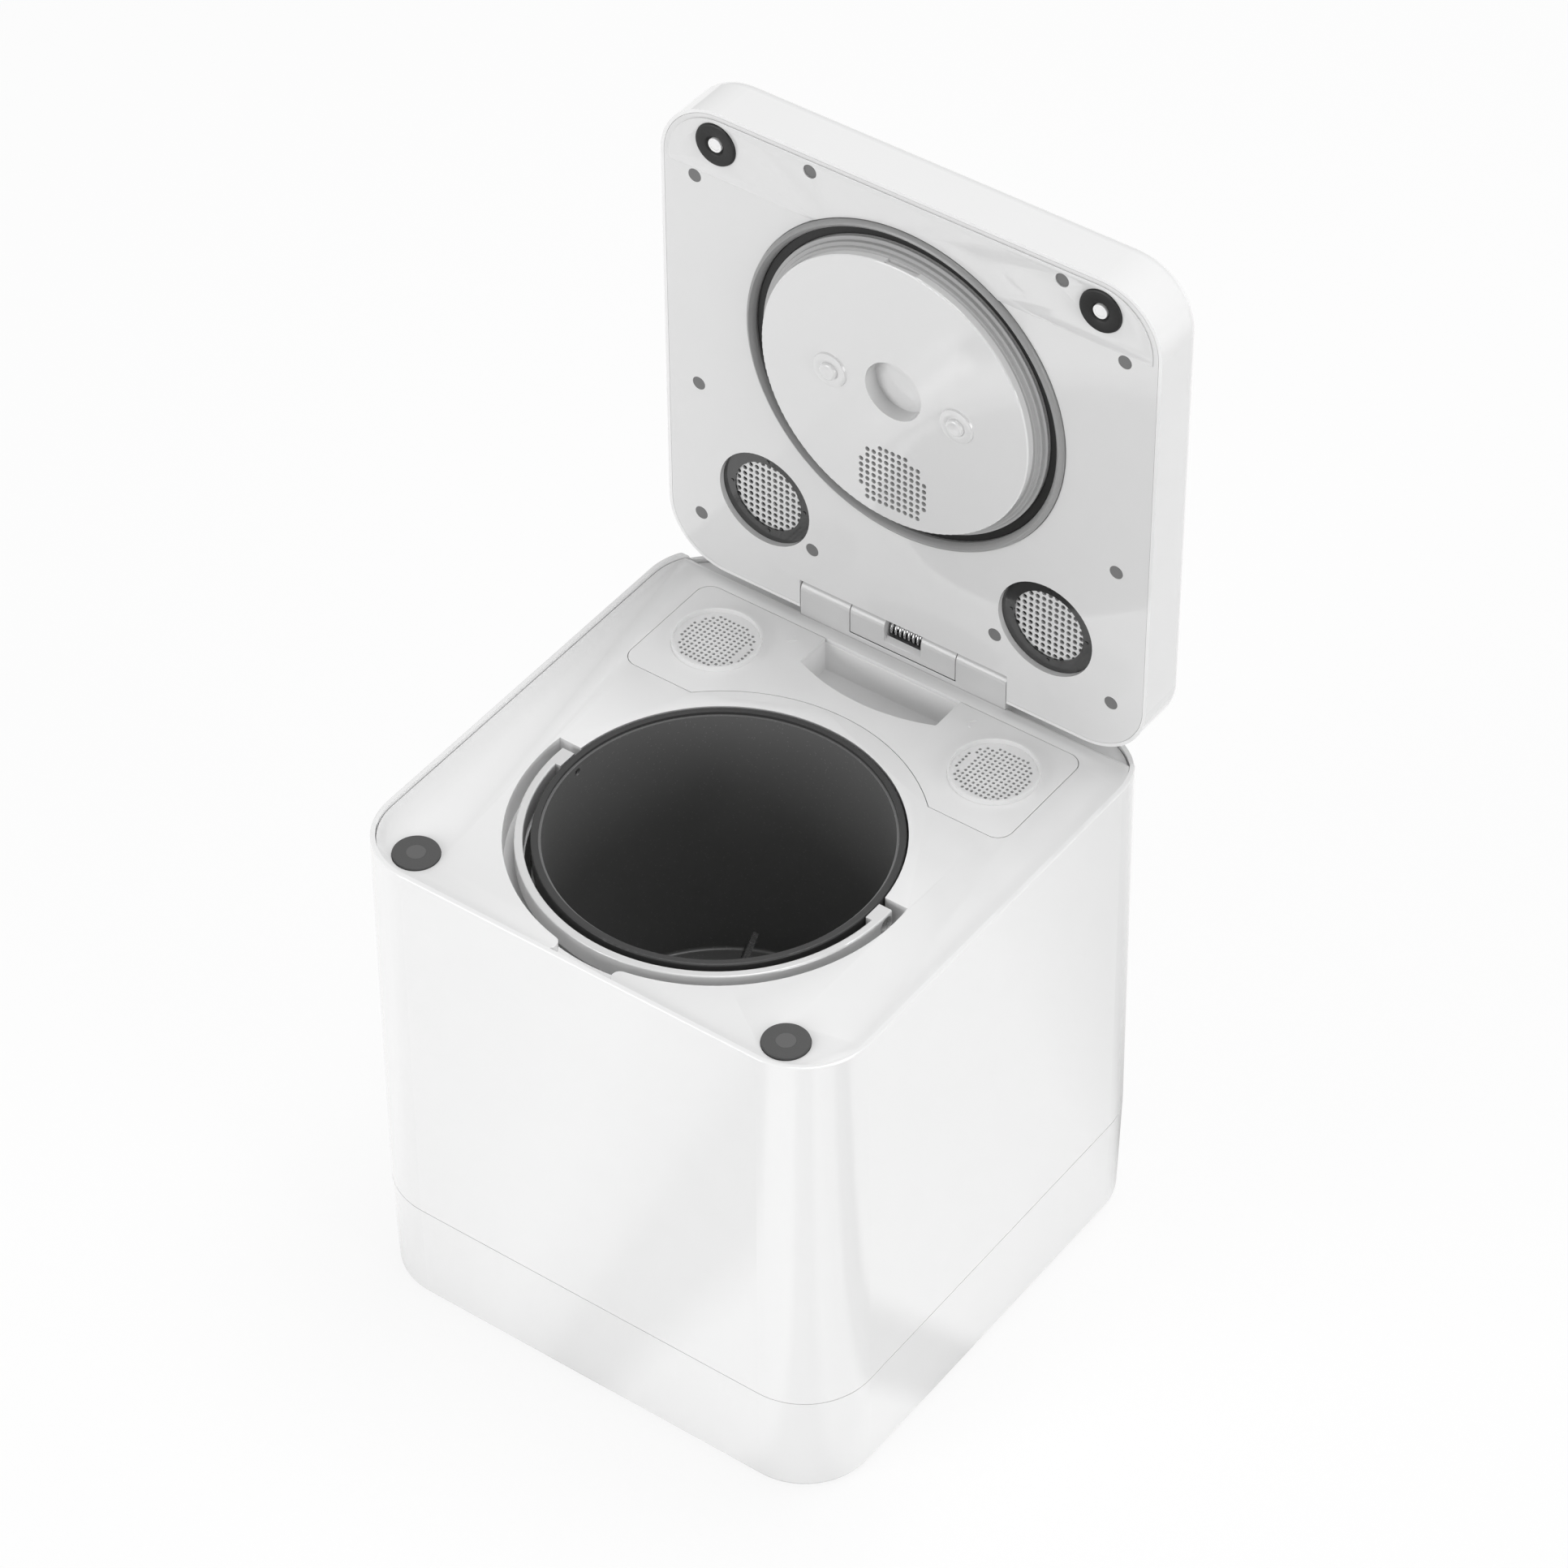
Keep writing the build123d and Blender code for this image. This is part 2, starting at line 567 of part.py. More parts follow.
def cover_outline(grow=0.0):
    """Plan of the filter cover, cut round the bucket."""
    depth = COVER_BACK_Y - COVER_FRONT_Y
    middle = (COVER_BACK_Y + COVER_FRONT_Y) / 2
    plan = RectangleRounded(COVER_W + 2 * grow, depth + 2 * grow, COVER_CORNER_R + grow)
    return Pos(0, middle) * plan - Pos(0, BUCKET_Y) * Circle(COVER_ARC_R - grow)


def groove_plan():
    """Plan of the bail's groove with its finger scoop."""
    half_disc = Circle(GROOVE_R) & Pos(0, GROOVE_END - BIG / 2) * Rectangle(BIG, BIG)
    front = -BODY_D / 2 + SHELL_T + DECK_GAP - BUCKET_Y
    scoop = Pos(0, (front - BAIL_OUT_R) / 2) * Rectangle(SCOOP_W, -front - BAIL_OUT_R)
    plan = half_disc + scoop
    chord = math.sqrt(GROOVE_R**2 - SCOOP_W**2 / 4)
    corners = plan.vertices().filter_by(lambda v: abs(v.Y + chord) < 0.01)
    radius = min(SCOOP_CORNER_R, (-front - chord) / 2)
    return Pos(0, BUCKET_Y) * fillet(corners, radius)


def scoop_cut():
    """Finger scoop, wider towards the rim."""
    front = -BODY_D / 2 + SHELL_T + DECK_GAP
    near = SCOOP_W / 2
    far = near + SCOOP_FLARE
    bend = front + SCOOP_FLARE
    plan = Polyline((-near, bend), (-far, front), (far, front), (near, bend), (-near, bend))
    return Pos(0, 0, DECK_Z - SCOOP_DEPTH) * extrude(make_face(plan), BIG / 2)


def deck_panel():
    inset = SHELL_T + DECK_GAP
    plan = pillow(BODY_W - 2 * inset, BODY_D - 2 * inset, BODY_CORNER_R - inset, 0, RIM_Z)
    deck = plan & deck_band(DECK_Z, DECK_T)
    # tub of the groove, collar behind the bucket, tub of the scoop and seat of the hinge
    behind = BUCKET_Y + GROOVE_END
    bottom = GROOVE_Z - WALL_T
    front = block((-BIG, BIG), (-BIG, behind + WALL_T), (0, RIM_Z))
    deck += rod(GROOVE_R + WALL_T, bottom, COVER_Z + 1, 0, BUCKET_Y) & front
    deck += rod(DECK_HOLE_R + WALL_T, bottom, COVER_Z + 1, 0, BUCKET_Y)
    half = SCOOP_W / 2 + SCOOP_FLARE + WALL_T
    tub = block((-half, half), (-BODY_D / 2, -BODY_D / 4), (DECK_Z - SCOOP_DEPTH - WALL_T, COVER_Z + 1))
    deck += tub & plan
    seat = BRACKET_W / 2 + WALL_T
    sunk = DECK_Z - RAMP_DROP
    deck += block((-seat, seat), (RAMP_Y - WALL_T, BODY_D / 2), (sunk - DECK_T, sunk)) & plan
    deck += block((-seat, seat), (RAMP_Y - WALL_T, PANEL_PLANE_Y - FIT), (sunk - DECK_T, COVER_Z + 1))
    # openings
    groove = groove_plan()
    deck -= Pos(0, 0, GROOVE_Z) * extrude(groove & Pos(0, BUCKET_Y) * Circle(GROOVE_R), BIG / 2)
    deck -= Pos(0, 0, DECK_Z - SCOOP_DEPTH) * extrude(groove, BIG / 2)
    deck -= scoop_cut()
    ahead = block((-BIG, BIG), (-BIG, behind), (0, 2 * RIM_Z))
    deck -= rod(GROOVE_FLOOR_R, 0, GROOVE_Z + 1, 0, BUCKET_Y) & ahead
    deck -= rod(DECK_HOLE_R, 0, RIM_Z, 0, BUCKET_Y)
    deck -= extrude(cover_outline(DECK_GAP), BIG)
    seat = BRACKET_W / 2 + FIT
    deck -= block((-seat, seat), (PANEL_PLANE_Y - FIT, BIG), (sunk, RIM_Z))
    for x in (-PAD_X, PAD_X):
        deck -= rod(PAD_R + FIT, DECK_Z - PAD_SUNK, RIM_Z, x, PAD_Y)
    for x, y in bracket_screw_places():
        deck -= rod(SCREW_R + PIN_FIT, 0, RIM_Z, x, y)
    return deck


def strike_pads():
    top = RIM_Z - PAD_BELOW_RIM
    pad = tube(PAD_CORE_R, PAD_R, DECK_Z - PAD_SUNK, top, PAD_X, PAD_Y)
    pad = chamfer(pad.edges().group_by(Axis.Z)[-1].sort_by(SortBy.LENGTH)[-1], SOFT_EDGE)
    return mirrored(pad)


def strike_cores():
    top = RIM_Z - PAD_BELOW_RIM
    return mirrored(rod(PAD_CORE_R - PIN_FIT, DECK_Z - PAD_SUNK, top, PAD_X, PAD_Y))


# ---------------------------------------------------------------- filter cover and air path
def grille_places():
    """Holes of the right grille: a round field of a square grid, with its middle left closed."""
    reach = range(-7, 8)
    spots = [(i, j) for i in reach for j in reach if math.hypot(i + GRILLE_SHIFT, j) <= GRILLE_REACH]
    column, rows = GRILLE_SHUT
    spots = [(i, j) for i, j in spots if not (i == column and abs(j) <= rows)]
    x0 = GRILLE_X + GRILLE_SHIFT_X
    y0 = GRILLE_Y + GRILLE_SHIFT_Y
    return [(x0 + i * GRILLE_PITCH, y0 + j * GRILLE_PITCH) for i, j in spots]


def chevron():
    """Plain raised arrow head that points at the finger pocket."""
    size = CHEVRON_SIZE
    arrow = Polyline((size, size), (0, 0), (size, -size), (1.5 * size, -size), (size / 2, 0),
                     (1.5 * size, size), close=True)
    return Pos(CHEVRON_X, CHEVRON_Y, DECK_Z) * extrude(make_face(arrow), CHEVRON_PROUD)


def filter_cover():
    plan = (cover_outline() - pocket_outline()).face()
    right = grille_places()
    holes = right + [(-x, y) for x, y in right]
    cover = perforated(plan, holes, GRILLE_HOLE_R, COVER_Z, DECK_T)
    ring = tube(GRILLE_R - GRILLE_WALL, GRILLE_R, DECK_Z, DECK_Z + GRILLE_H, GRILLE_X, GRILLE_Y)
    return cover + mirrored(ring) + mirrored(chevron())


def carbon_filters():
    """Two round cartridges that hang under the cover: a holed can filled with carbon."""
    can = rod(CANISTER_R, COVER_Z - CANISTER_H, COVER_Z, GRILLE_X, GRILLE_Y)
    can = chamfer(can.edges().sort_by(Axis.Z)[0], WALL_T)
    return mirrored(can)


def filter_box():
    """Tub under the cover: two round wells and the finger pocket, on one flange."""
    flange = Pos(0, 0, COVER_Z - WALL_T) * extrude(cover_outline(BOX_FLANGE), WALL_T)
    well = rod(BOX_WELL_R + WALL_T, BOX_FLOOR_Z, COVER_Z - WALL_T, GRILLE_X, GRILLE_Y)
    box = flange + mirrored(well)
    low = DECK_Z - POCKET_DEPTH
    box += Pos(0, 0, low - WALL_T) * extrude(pocket_outline(WALL_T), COVER_Z - low)
    inner = rod(BOX_WELL_R, BOX_FLOOR_Z + WALL_T, RIM_Z, GRILLE_X, GRILLE_Y)
    inner += rod(DUCT_HOLE_R, 0, RIM_Z, GRILLE_X, GRILLE_Y)
    box -= mirrored(inner)
    return box - Pos(0, 0, low) * extrude(pocket_outline(), BIG)


def air_duct():
    """Flat duct from both cartridge wells to the fan."""
    wide = DUCT_W / 2
    duct = block((-wide, wide), (DUCT_FRONT_Y, DUCT_BACK_Y), (DUCT_Z, BOX_FLOOR_Z))
    duct -= block((WALL_T - wide, wide - WALL_T), (DUCT_FRONT_Y + WALL_T, DUCT_BACK_Y - WALL_T),
                  (DUCT_Z + WALL_T, BOX_FLOOR_Z - WALL_T))
    for x in (-GRILLE_X, GRILLE_X):
        duct -= rod(DUCT_HOLE_R, BOX_FLOOR_Z - 2 * WALL_T, RIM_Z, x, GRILLE_Y)
    return duct - fan_mouth()


def fan_mouth():
    """Passage from the duct down into the fan housing."""
    half = FAN_HOUSING_W / 2 - 2 * WALL_T
    return block((-half, half), (FAN_FRONT_Y + 2 * WALL_T, DUCT_BACK_Y - 2 * WALL_T),
                 (DUCT_Z - 2 * WALL_T, DUCT_Z + 2 * WALL_T))


def fan_housing():
    half = FAN_HOUSING_W / 2
    low = FAN_Z - half
    back = BRACKET_BACK_Y - 2 * WALL_T
    house = block((-half, half), (FAN_FRONT_Y, back), (low, DUCT_Z))
    inner = half - WALL_T
    house -= block((-inner, inner), (FAN_FRONT_Y + WALL_T, back - WALL_T), (low + WALL_T, DUCT_Z - WALL_T))
    house -= rod_y(FAN_R + WALL_T, back - 2 * WALL_T, back + 1, 0, FAN_Z)
    return house - fan_mouth()


def fan_motor():
    front = FAN_FRONT_Y + WALL_T
    body = rod_y(FAN_R / 2, front, front + FAN_R, 0, FAN_Z)
    return body - rod_y(MOTOR_SHAFT_R + PIN_FIT, front + WALL_T, BIG, 0, FAN_Z)


def fan_rotor():
    front = FAN_FRONT_Y + WALL_T + FAN_R + FIT
    back = front + FAN_R / 2
    rotor = rod_y(FAN_R / 2.5, front, back, 0, FAN_Z)
    blade = Rot(0, 0, BLADE_SKEW) * Box(BLADE_T, FAN_R / 2.2, FAN_R - FAN_R / 3)
    blade = Pos(0, (front + back) / 2, FAN_Z + (FAN_R + FAN_R / 3) / 2) * blade
    axis = Axis((0, 0, FAN_Z), (0, 1, 0))
    for turn in range(FAN_BLADES):
        rotor += blade.rotate(axis, 360 / FAN_BLADES * turn)
    return rotor + rod_y(MOTOR_SHAFT_R, FAN_FRONT_Y + 3 * WALL_T, front + 1, 0, FAN_Z)


def rear_vent():
    """Slotted outlet in the sleeve's back."""
    half = VENT_W / 2
    back = BODY_D / 2
    front = BRACKET_BACK_Y - 2 * WALL_T
    edge = half - FIT
    vent = block((-edge, edge), (front, back), (FAN_Z - edge, FAN_Z + edge))
    rim = half + WALL_T
    vent += block((-rim, rim), (front, BRACKET_BACK_Y), (FAN_Z - rim, FAN_Z + rim))
    pitch = VENT_W / (VENT_SLOTS + 1)
    slot = half - pitch
    for row in range(VENT_SLOTS):
        z = FAN_Z + (row - (VENT_SLOTS - 1) / 2) * pitch
        vent -= block((-slot, slot), (0, BIG), (z - pitch / 4, z + pitch / 4))
    return vent


# ---------------------------------------------------------------- heating well
def post_places():
    """Well posts on the diagonals of the bucket axis."""
    d = POST_REACH / math.sqrt(2)
    return [(x, BUCKET_Y + y) for x in (-d, d) for y in (-d, d)]


def heating_well():
    """Aluminium wall round the bucket, flanged at the top, standing on the heater plate."""
    well = tube(WELL_R, WELL_R + WELL_T, BUCKET_BOTTOM_Z, COLLAR_Z, 0, BUCKET_Y)
    return well + tube(WELL_R, WELL_FLANGE_R, COLLAR_Z - WALL_T, COLLAR_Z, 0, BUCKET_Y)


def well_collar():
    """Black ring between the well's flange and the deck, with an ear over each post."""
    collar = rod(WELL_FLANGE_R, COLLAR_Z, COLLAR_Z + COLLAR_T, 0, BUCKET_Y)
    for x, y in post_places():
        collar += rod(EAR_R, COLLAR_Z, COLLAR_Z + COLLAR_T, x, y)
    return collar - rod(COLLAR_IN_R, 0, RIM_Z, 0, BUCKET_Y)


def well_insulation():
    inner = WELL_R + WELL_T + FIT
    return tube(inner, inner + INSULATION_T, BUCKET_BOTTOM_Z, COLLAR_Z - 3 * WALL_T, 0, BUCKET_Y)


def heater_plate():
    """Hot plate that is the well's floor, with a hole for the coupling."""
    return tube(WELL_HOLE_R, WELL_R + WELL_T, BUCKET_BOTTOM_Z - HEATER_T, BUCKET_BOTTOM_Z, 0, BUCKET_Y)


def thermal_sensor():
    top = BUCKET_BOTTOM_Z - HEATER_T
    reach = (WELL_HOLE_R + WELL_R) / 2
    return rod(SENSOR_R, top - SENSOR_H, top, -reach, BUCKET_Y)


def chassis_posts():
    """Posts of the well, the gearbox and the board."""
    posts = [rod(POST_R, CHASSIS_Z, COLLAR_Z, x, y) for x, y in post_places()]
    posts += [rod(LEG_R, CHASSIS_Z, GEARBOX_Z, x, y) for x, y in leg_places()]
    posts += [rod(POST_R, CHASSIS_Z, CHASSIS_Z + BOARD_LIFT, x, y) for x, y in board_post_places()]
    return Compound(posts)


# ---------------------------------------------------------------- gearbox
def gearbox_walls():
    """Inner left, right and half depth of the gearbox."""
    tip = MODULE + WALL_T
    left = -MODULE * OUTPUT_TEETH / 2 - tip
    right = MOTOR_X + max(MODULE * PINION_TEETH / 2 + tip, MOTOR_R)
    half = MODULE * max(OUTPUT_TEETH, IDLER_BIG_TEETH) / 2 + tip
    return left, right, half


def leg_places():
    """Gearbox legs near its corners."""
    left, right, half = gearbox_walls()
    return [(x, BUCKET_Y + y) for x in (left, right) for y in (-half, half)]


def gear(teeth, height):
    """Spur gear on Z with straight-flanked teeth, one of them on +X."""
    pitch_r = MODULE * teeth / 2
    root = pitch_r - TOOTH_ROOT * MODULE
    tip = pitch_r + TOOTH_TIP * MODULE
    step = 2 * math.pi / teeth
    points = []
    for tooth in range(teeth):
        middle = tooth * step
        for radius, share in ((root, -ROOT_SHARE), (tip, -TIP_SHARE), (tip, TIP_SHARE), (root, ROOT_SHARE)):
            angle = middle + share * step
            points.append((radius * math.cos(angle), radius * math.sin(angle)))
    return extrude(make_face(Polyline(points, close=True)), height)


def gearbox_housing():
    left, right, half = gearbox_walls()
    low = GEARBOX_Z
    wall = DECK_T
    top = low + GEARBOX_H
    house = block((left - wall, right + wall), (BUCKET_Y - half - wall, BUCKET_Y + half + wall), (low, top))
    house = fillet(house.edges().filter_by(Axis.Z), 2 * LEG_R)
    room = block((left, right), (BUCKET_Y - half, BUCKET_Y + half), (low + wall, top + 1))
    house -= fillet(room.edges().filter_by(Axis.Z), 2 * LEG_R - wall)
    house += rod(IDLER_PIN_R, low, top, IDLER_X, BUCKET_Y)
    house += tube(OUTPUT_SHAFT_R + PIN_FIT, BEARING_R, low, GEAR_LOW_Z, 0, BUCKET_Y)
    house -= rod(OUTPUT_SHAFT_R + PIN_FIT, low + wall / 2, top, 0, BUCKET_Y)
    return house - rod(MOTOR_SHAFT_R + PIN_FIT, 0, top, MOTOR_X, BUCKET_Y)


def gearbox_cover():
    left, right, half = gearbox_walls()
    wall = DECK_T
    low = GEARBOX_Z + GEARBOX_H
    lid = block((left - wall, right + wall), (BUCKET_Y - half - wall, BUCKET_Y + half + wall),
                (low, low + GEARBOX_COVER_T))
    lid = fillet(lid.edges().filter_by(Axis.Z), 2 * LEG_R)
    lid += rod(BEARING_R + WALL_T, low, low + BEARING_H, 0, BUCKET_Y)
    return lid - rod(BEARING_R + PIN_FIT, 0, RIM_Z, 0, BUCKET_Y)


def shaft_bearing():
    low = GEARBOX_Z + GEARBOX_H
    return tube(OUTPUT_SHAFT_R + PIN_FIT, BEARING_R, low, low + BEARING_H, 0, BUCKET_Y)


def output_gear():
    wheel = gear(OUTPUT_TEETH, GEAR_HIGH_H)
    wheel -= Cylinder(OUTPUT_SHAFT_R + PIN_FIT, BIG)
    return Pos(0, BUCKET_Y, GEAR_HIGH_Z) * wheel


def output_shaft():
    """Shaft of the output gear, with the hexagon dog that turns the stirrer."""
    dog_top = COUPLING_Z + COUPLING_H / 2
    shaft = rod(OUTPUT_SHAFT_R, GEARBOX_Z + DECK_T, dog_top - DOG_H, 0, BUCKET_Y)
    dog = extrude(RegularPolygon(DOG_FLATS / 2, 6, major_radius=False), DOG_H)
    return shaft + Pos(0, BUCKET_Y, dog_top - DOG_H) * dog


def idler_gear():
    """Compound wheel: the pinion drives its big teeth, its small teeth drive the output gear."""
    big = gear(IDLER_BIG_TEETH, GEAR_LOW_H)
    half_pitch = 180 / IDLER_SMALL_TEETH
    small = Rot(0, 0, half_pitch) * gear(IDLER_SMALL_TEETH, GEAR_HIGH_Z + GEAR_HIGH_H - GEAR_LOW_Z)
    wheel = big + small - Cylinder(IDLER_PIN_R + PIN_FIT, BIG)
    return Pos(IDLER_X, BUCKET_Y, GEAR_LOW_Z) * wheel


def motor_pinion():
    pinion = Rot(0, 0, 180 / PINION_TEETH) * gear(PINION_TEETH, GEAR_LOW_H)
    shaft = rod(MOTOR_SHAFT_R, GEARBOX_Z - MOTOR_H / 2, GEAR_LOW_Z + 1, MOTOR_X, BUCKET_Y)
    return Pos(MOTOR_X, BUCKET_Y, GEAR_LOW_Z) * pinion + shaft


def drive_motor():
    low = GEARBOX_Z - MOTOR_H
    motor = rod(MOTOR_R, low, GEARBOX_Z, MOTOR_X, BUCKET_Y)
    motor = chamfer(motor.edges().sort_by(Axis.Z)[0], WALL_T)
    return motor - rod(MOTOR_SHAFT_R + PIN_FIT, GEARBOX_Z - MOTOR_H / 2 - 1, RIM_Z, MOTOR_X, BUCKET_Y)


# ---------------------------------------------------------------- electrics
def board_post_places():
    x = BOARD_W / 2 - POST_R
    y = BOARD_L / 2 - POST_R
    return [(BOARD_X + i * x, BUCKET_Y + j * y) for i in (-1, 1) for j in (-1, 1)]


def control_board():
    low = CHASSIS_Z + BOARD_LIFT
    return block((BOARD_X - BOARD_W / 2, BOARD_X + BOARD_W / 2),
                 (BUCKET_Y - BOARD_L / 2, BUCKET_Y + BOARD_L / 2), (low, low + BOARD_T))


def board_parts():
    """Transformer, smoothing capacitors and relays, standing on the board."""
    low = CHASSIS_Z + BOARD_LIFT + BOARD_T
    wide = BOARD_W / 3
    parts = [block((BOARD_X - wide, BOARD_X + wide), (BUCKET_Y - BOARD_L / 3, BUCKET_Y - BOARD_L / 9),
                   (low, low + 1.5 * wide))]
    for step in range(3):
        parts.append(rod(wide / 2, low, low + wide, BOARD_X, BUCKET_Y + BOARD_L / 8 * step))
    relay = BUCKET_Y + BOARD_L / 2 - wide
    parts.append(block((BOARD_X - wide / 2, BOARD_X + wide / 2), (relay - wide / 2, relay + wide / 2),
                       (low, low + wide)))
    return Compound(parts)


def power_inlet():
    """Appliance inlet in the base's back, with its flange inside the wall."""
    back = BODY_D / 2
    front = back - INLET_DEPTH
    w = INLET_W / 2
    h = INLET_H / 2
    inlet = block((INLET_X - w, INLET_X + w), (front, back), (INLET_Z - h, INLET_Z + h))
    w += 2 * WALL_T
    h += 2 * WALL_T
    inlet += block((INLET_X - w, INLET_X + w), (BRACKET_BACK_Y - WALL_T, BRACKET_BACK_Y),
                   (INLET_Z - h, INLET_Z + h))
    w = SOCKET_W / 2
    h = SOCKET_H / 2
    return inlet - block((INLET_X - w, INLET_X + w), (back - SOCKET_DEPTH, BIG), (INLET_Z - h, INLET_Z + h))


def inlet_pins():
    """Three flat pins in the inlet's socket."""
    floor = BODY_D / 2 - SOCKET_DEPTH
    pins = []
    w = PRONG_W / 2
    h = PRONG_H / 2
    for x, z in PRONGS:
        pins.append(block((INLET_X + x - w, INLET_X + x + w), (floor, floor + PRONG_L),
                          (INLET_Z + z - h, INLET_Z + z + h)))
    return Compound(pins)


# ---------------------------------------------------------------- bucket
def bucket():
    """Lift-out bucket with a bushed floor."""
    top = DECK_Z - RING_LIP
    pot = rod(BUCKET_R, BUCKET_BOTTOM_Z, top, 0, BUCKET_Y)
    pot = fillet(pot.edges().sort_by(Axis.Z)[0], 2 * BUCKET_T)
    room = rod(BUCKET_R - BUCKET_T, BUCKET_FLOOR_Z, top + 1, 0, BUCKET_Y)
    pot -= fillet(room.edges().sort_by(Axis.Z)[0], BUCKET_T)
    pot -= rod(BUSH_R, 0, RIM_Z, 0, BUCKET_Y)
    return pot - rod_x(BAIL_PIN_R + PIN_FIT, -BIG, BIG, BUCKET_Y, PIVOT_Z)


def bucket_rim():
    """Dark ring round the bucket's mouth."""
    low = DECK_Z - RING_H
    ring = tube(RING_IN_R, RING_OUT_R, low, DECK_Z, 0, BUCKET_Y)
    ring -= rod(BUCKET_R + PIN_FIT, 0, DECK_Z - RING_LIP, 0, BUCKET_Y)
    top = ring.edges().group_by(Axis.Z)[-1].sort_by(SortBy.LENGTH)[-1]
    ring = fillet(top, RIM_ROUND)
    return ring - rod_x(BAIL_PIN_R + PIN_FIT, -BIG, BIG, BUCKET_Y, PIVOT_Z)


def rounded_ring(inner, outer, low, high, radius):
    """Ring about the bucket's axis with softened edges."""
    section = RectangleRounded(outer - inner, high - low, radius)
    section = Pos((inner + outer) / 2, (low + high) / 2) * section
    return Pos(0, BUCKET_Y, 0) * revolve(Plane.XZ * section, Axis.Z)


def bail_handle():
    """Half-round strap that lies in the deck's groove, with thick eyes at its ends."""
    low = DECK_Z - BAIL_H
    strap = rounded_ring(BAIL_IN_R, BAIL_OUT_R, low, DECK_Z, BAIL_ROUND)
    strap &= block((-BIG, BIG), (-BIG, BUCKET_Y + BAIL_EYE_BACK), (0, RIM_Z))
    eyes = rounded_ring(BAIL_EYE_IN_R - BAIL_EYE_FRONT, BAIL_OUT_R, low, DECK_Z, BAIL_ROUND)
    eyes &= block((-BIG, BIG), (BUCKET_Y - BAIL_EYE_FRONT, BUCKET_Y + BAIL_EYE_BACK), (low, DECK_Z))
    eyes -= block((-BAIL_EYE_IN_R, BAIL_EYE_IN_R), (-BIG, BIG), (0, RIM_Z))
    bail = strap + eyes
    head = BAIL_OUT_R - BAIL_PIN_R
    for side in (-1, 1):
        bail -= rod_x(BAIL_PIN_R + PIN_FIT, *sorted((0, side * BIG)), BUCKET_Y, PIVOT_Z)
        bail -= rod_x(BAIL_HEAD_R + PIN_FIT, *sorted((side * head, side * BIG)), BUCKET_Y, PIVOT_Z)
    return bail


def bail_pins():
    """Pivot screws through the eyes into the ring and the bucket's wall."""
    tip = BUCKET_R - BUCKET_T + BAIL_PIN_BITE
    head = BAIL_OUT_R - BAIL_PIN_R + PIN_FIT
    pin = rod_x(BAIL_PIN_R, tip, head + 1, BUCKET_Y, PIVOT_Z)
    pin += rod_x(BAIL_HEAD_R, head, BAIL_OUT_R - BAIL_PIN_R / 2, BUCKET_Y, PIVOT_Z)
    return mirrored(pin)


def stirrer_bush():
    return tube(STIR_SHAFT_R + PIN_FIT, BUSH_R - PIN_FIT, BUCKET_BOTTOM_Z, BUCKET_BOTTOM_Z + BUSH_H,
                0, BUCKET_Y)


def stirrer():
    """Post with two skewed arms, on a shaft through the bucket's floor."""
    low = BUCKET_BOTTOM_Z + BUSH_H + FIT
    part = rod(STIR_HUB_R, low, low + STIR_HUB_R, 0, BUCKET_Y)
    post = rod(STIR_POST_R, low, low + STIR_POST_H, 0, BUCKET_Y)
    part += fillet(post.edges().sort_by(Axis.Z)[-1], STIR_POST_R / 2)
    part += rod(STIR_SHAFT_R, COUPLING_Z + COUPLING_H / 2, low + 1, 0, BUCKET_Y)
    blade = STIR_POST_R
    for turn, reach, height in ARMS:
        length = reach * ARM_REACH
        arm = Pos(length / 2, 0, 0) * Rot(ARM_SKEW, 0, 0) * Box(length, ARM_T, blade)
        place = Pos(0, BUCKET_Y, low + blade / 2 + height * STIR_POST_H) * Rot(0, 0, turn)
        part += place * arm
    return part


def stirrer_coupling():
    """Cup under the bucket that drops over the gearbox's dog."""
    cup = rod(COUPLING_R, COUPLING_Z, COUPLING_Z + COUPLING_H, 0, BUCKET_Y)
    middle = COUPLING_Z + COUPLING_H / 2
    cup -= rod(STIR_SHAFT_R + PIN_FIT, middle, RIM_Z, 0, BUCKET_Y)
    socket = extrude(RegularPolygon(DOG_FLATS / 2 + DOG_FIT, 6, major_radius=False), COUPLING_H / 2 + DOG_FIT)
    return cup - Pos(0, BUCKET_Y, COUPLING_Z) * socket


# ---------------------------------------------------------------- hinge
def hinge_profile(low, back, low_round):
    """Section of a hinge block about the axis: flat front, round top corners."""
    top = HINGE_SET
    front = -HINGE_SET
    r = BLOCK_ROUND
    corner = (1 - math.sqrt(0.5)) * r
    path = [Line((front, low), (front, top - r)),
            ThreePointArc((front, top - r), (front + corner, top - corner), (front + r, top)),
            Line((front + r, top), (back - r, top)),
            ThreePointArc((back - r, top), (back - corner, top - corner), (back, top - r)),
            Line((back, top - r), (back, low)),
            Line((back, low), (front, low))]
    face = make_face(path)
    if low_round:
        face &= Circle(low_round)
    return Pos(HINGE_Y, HINGE_Z) * face


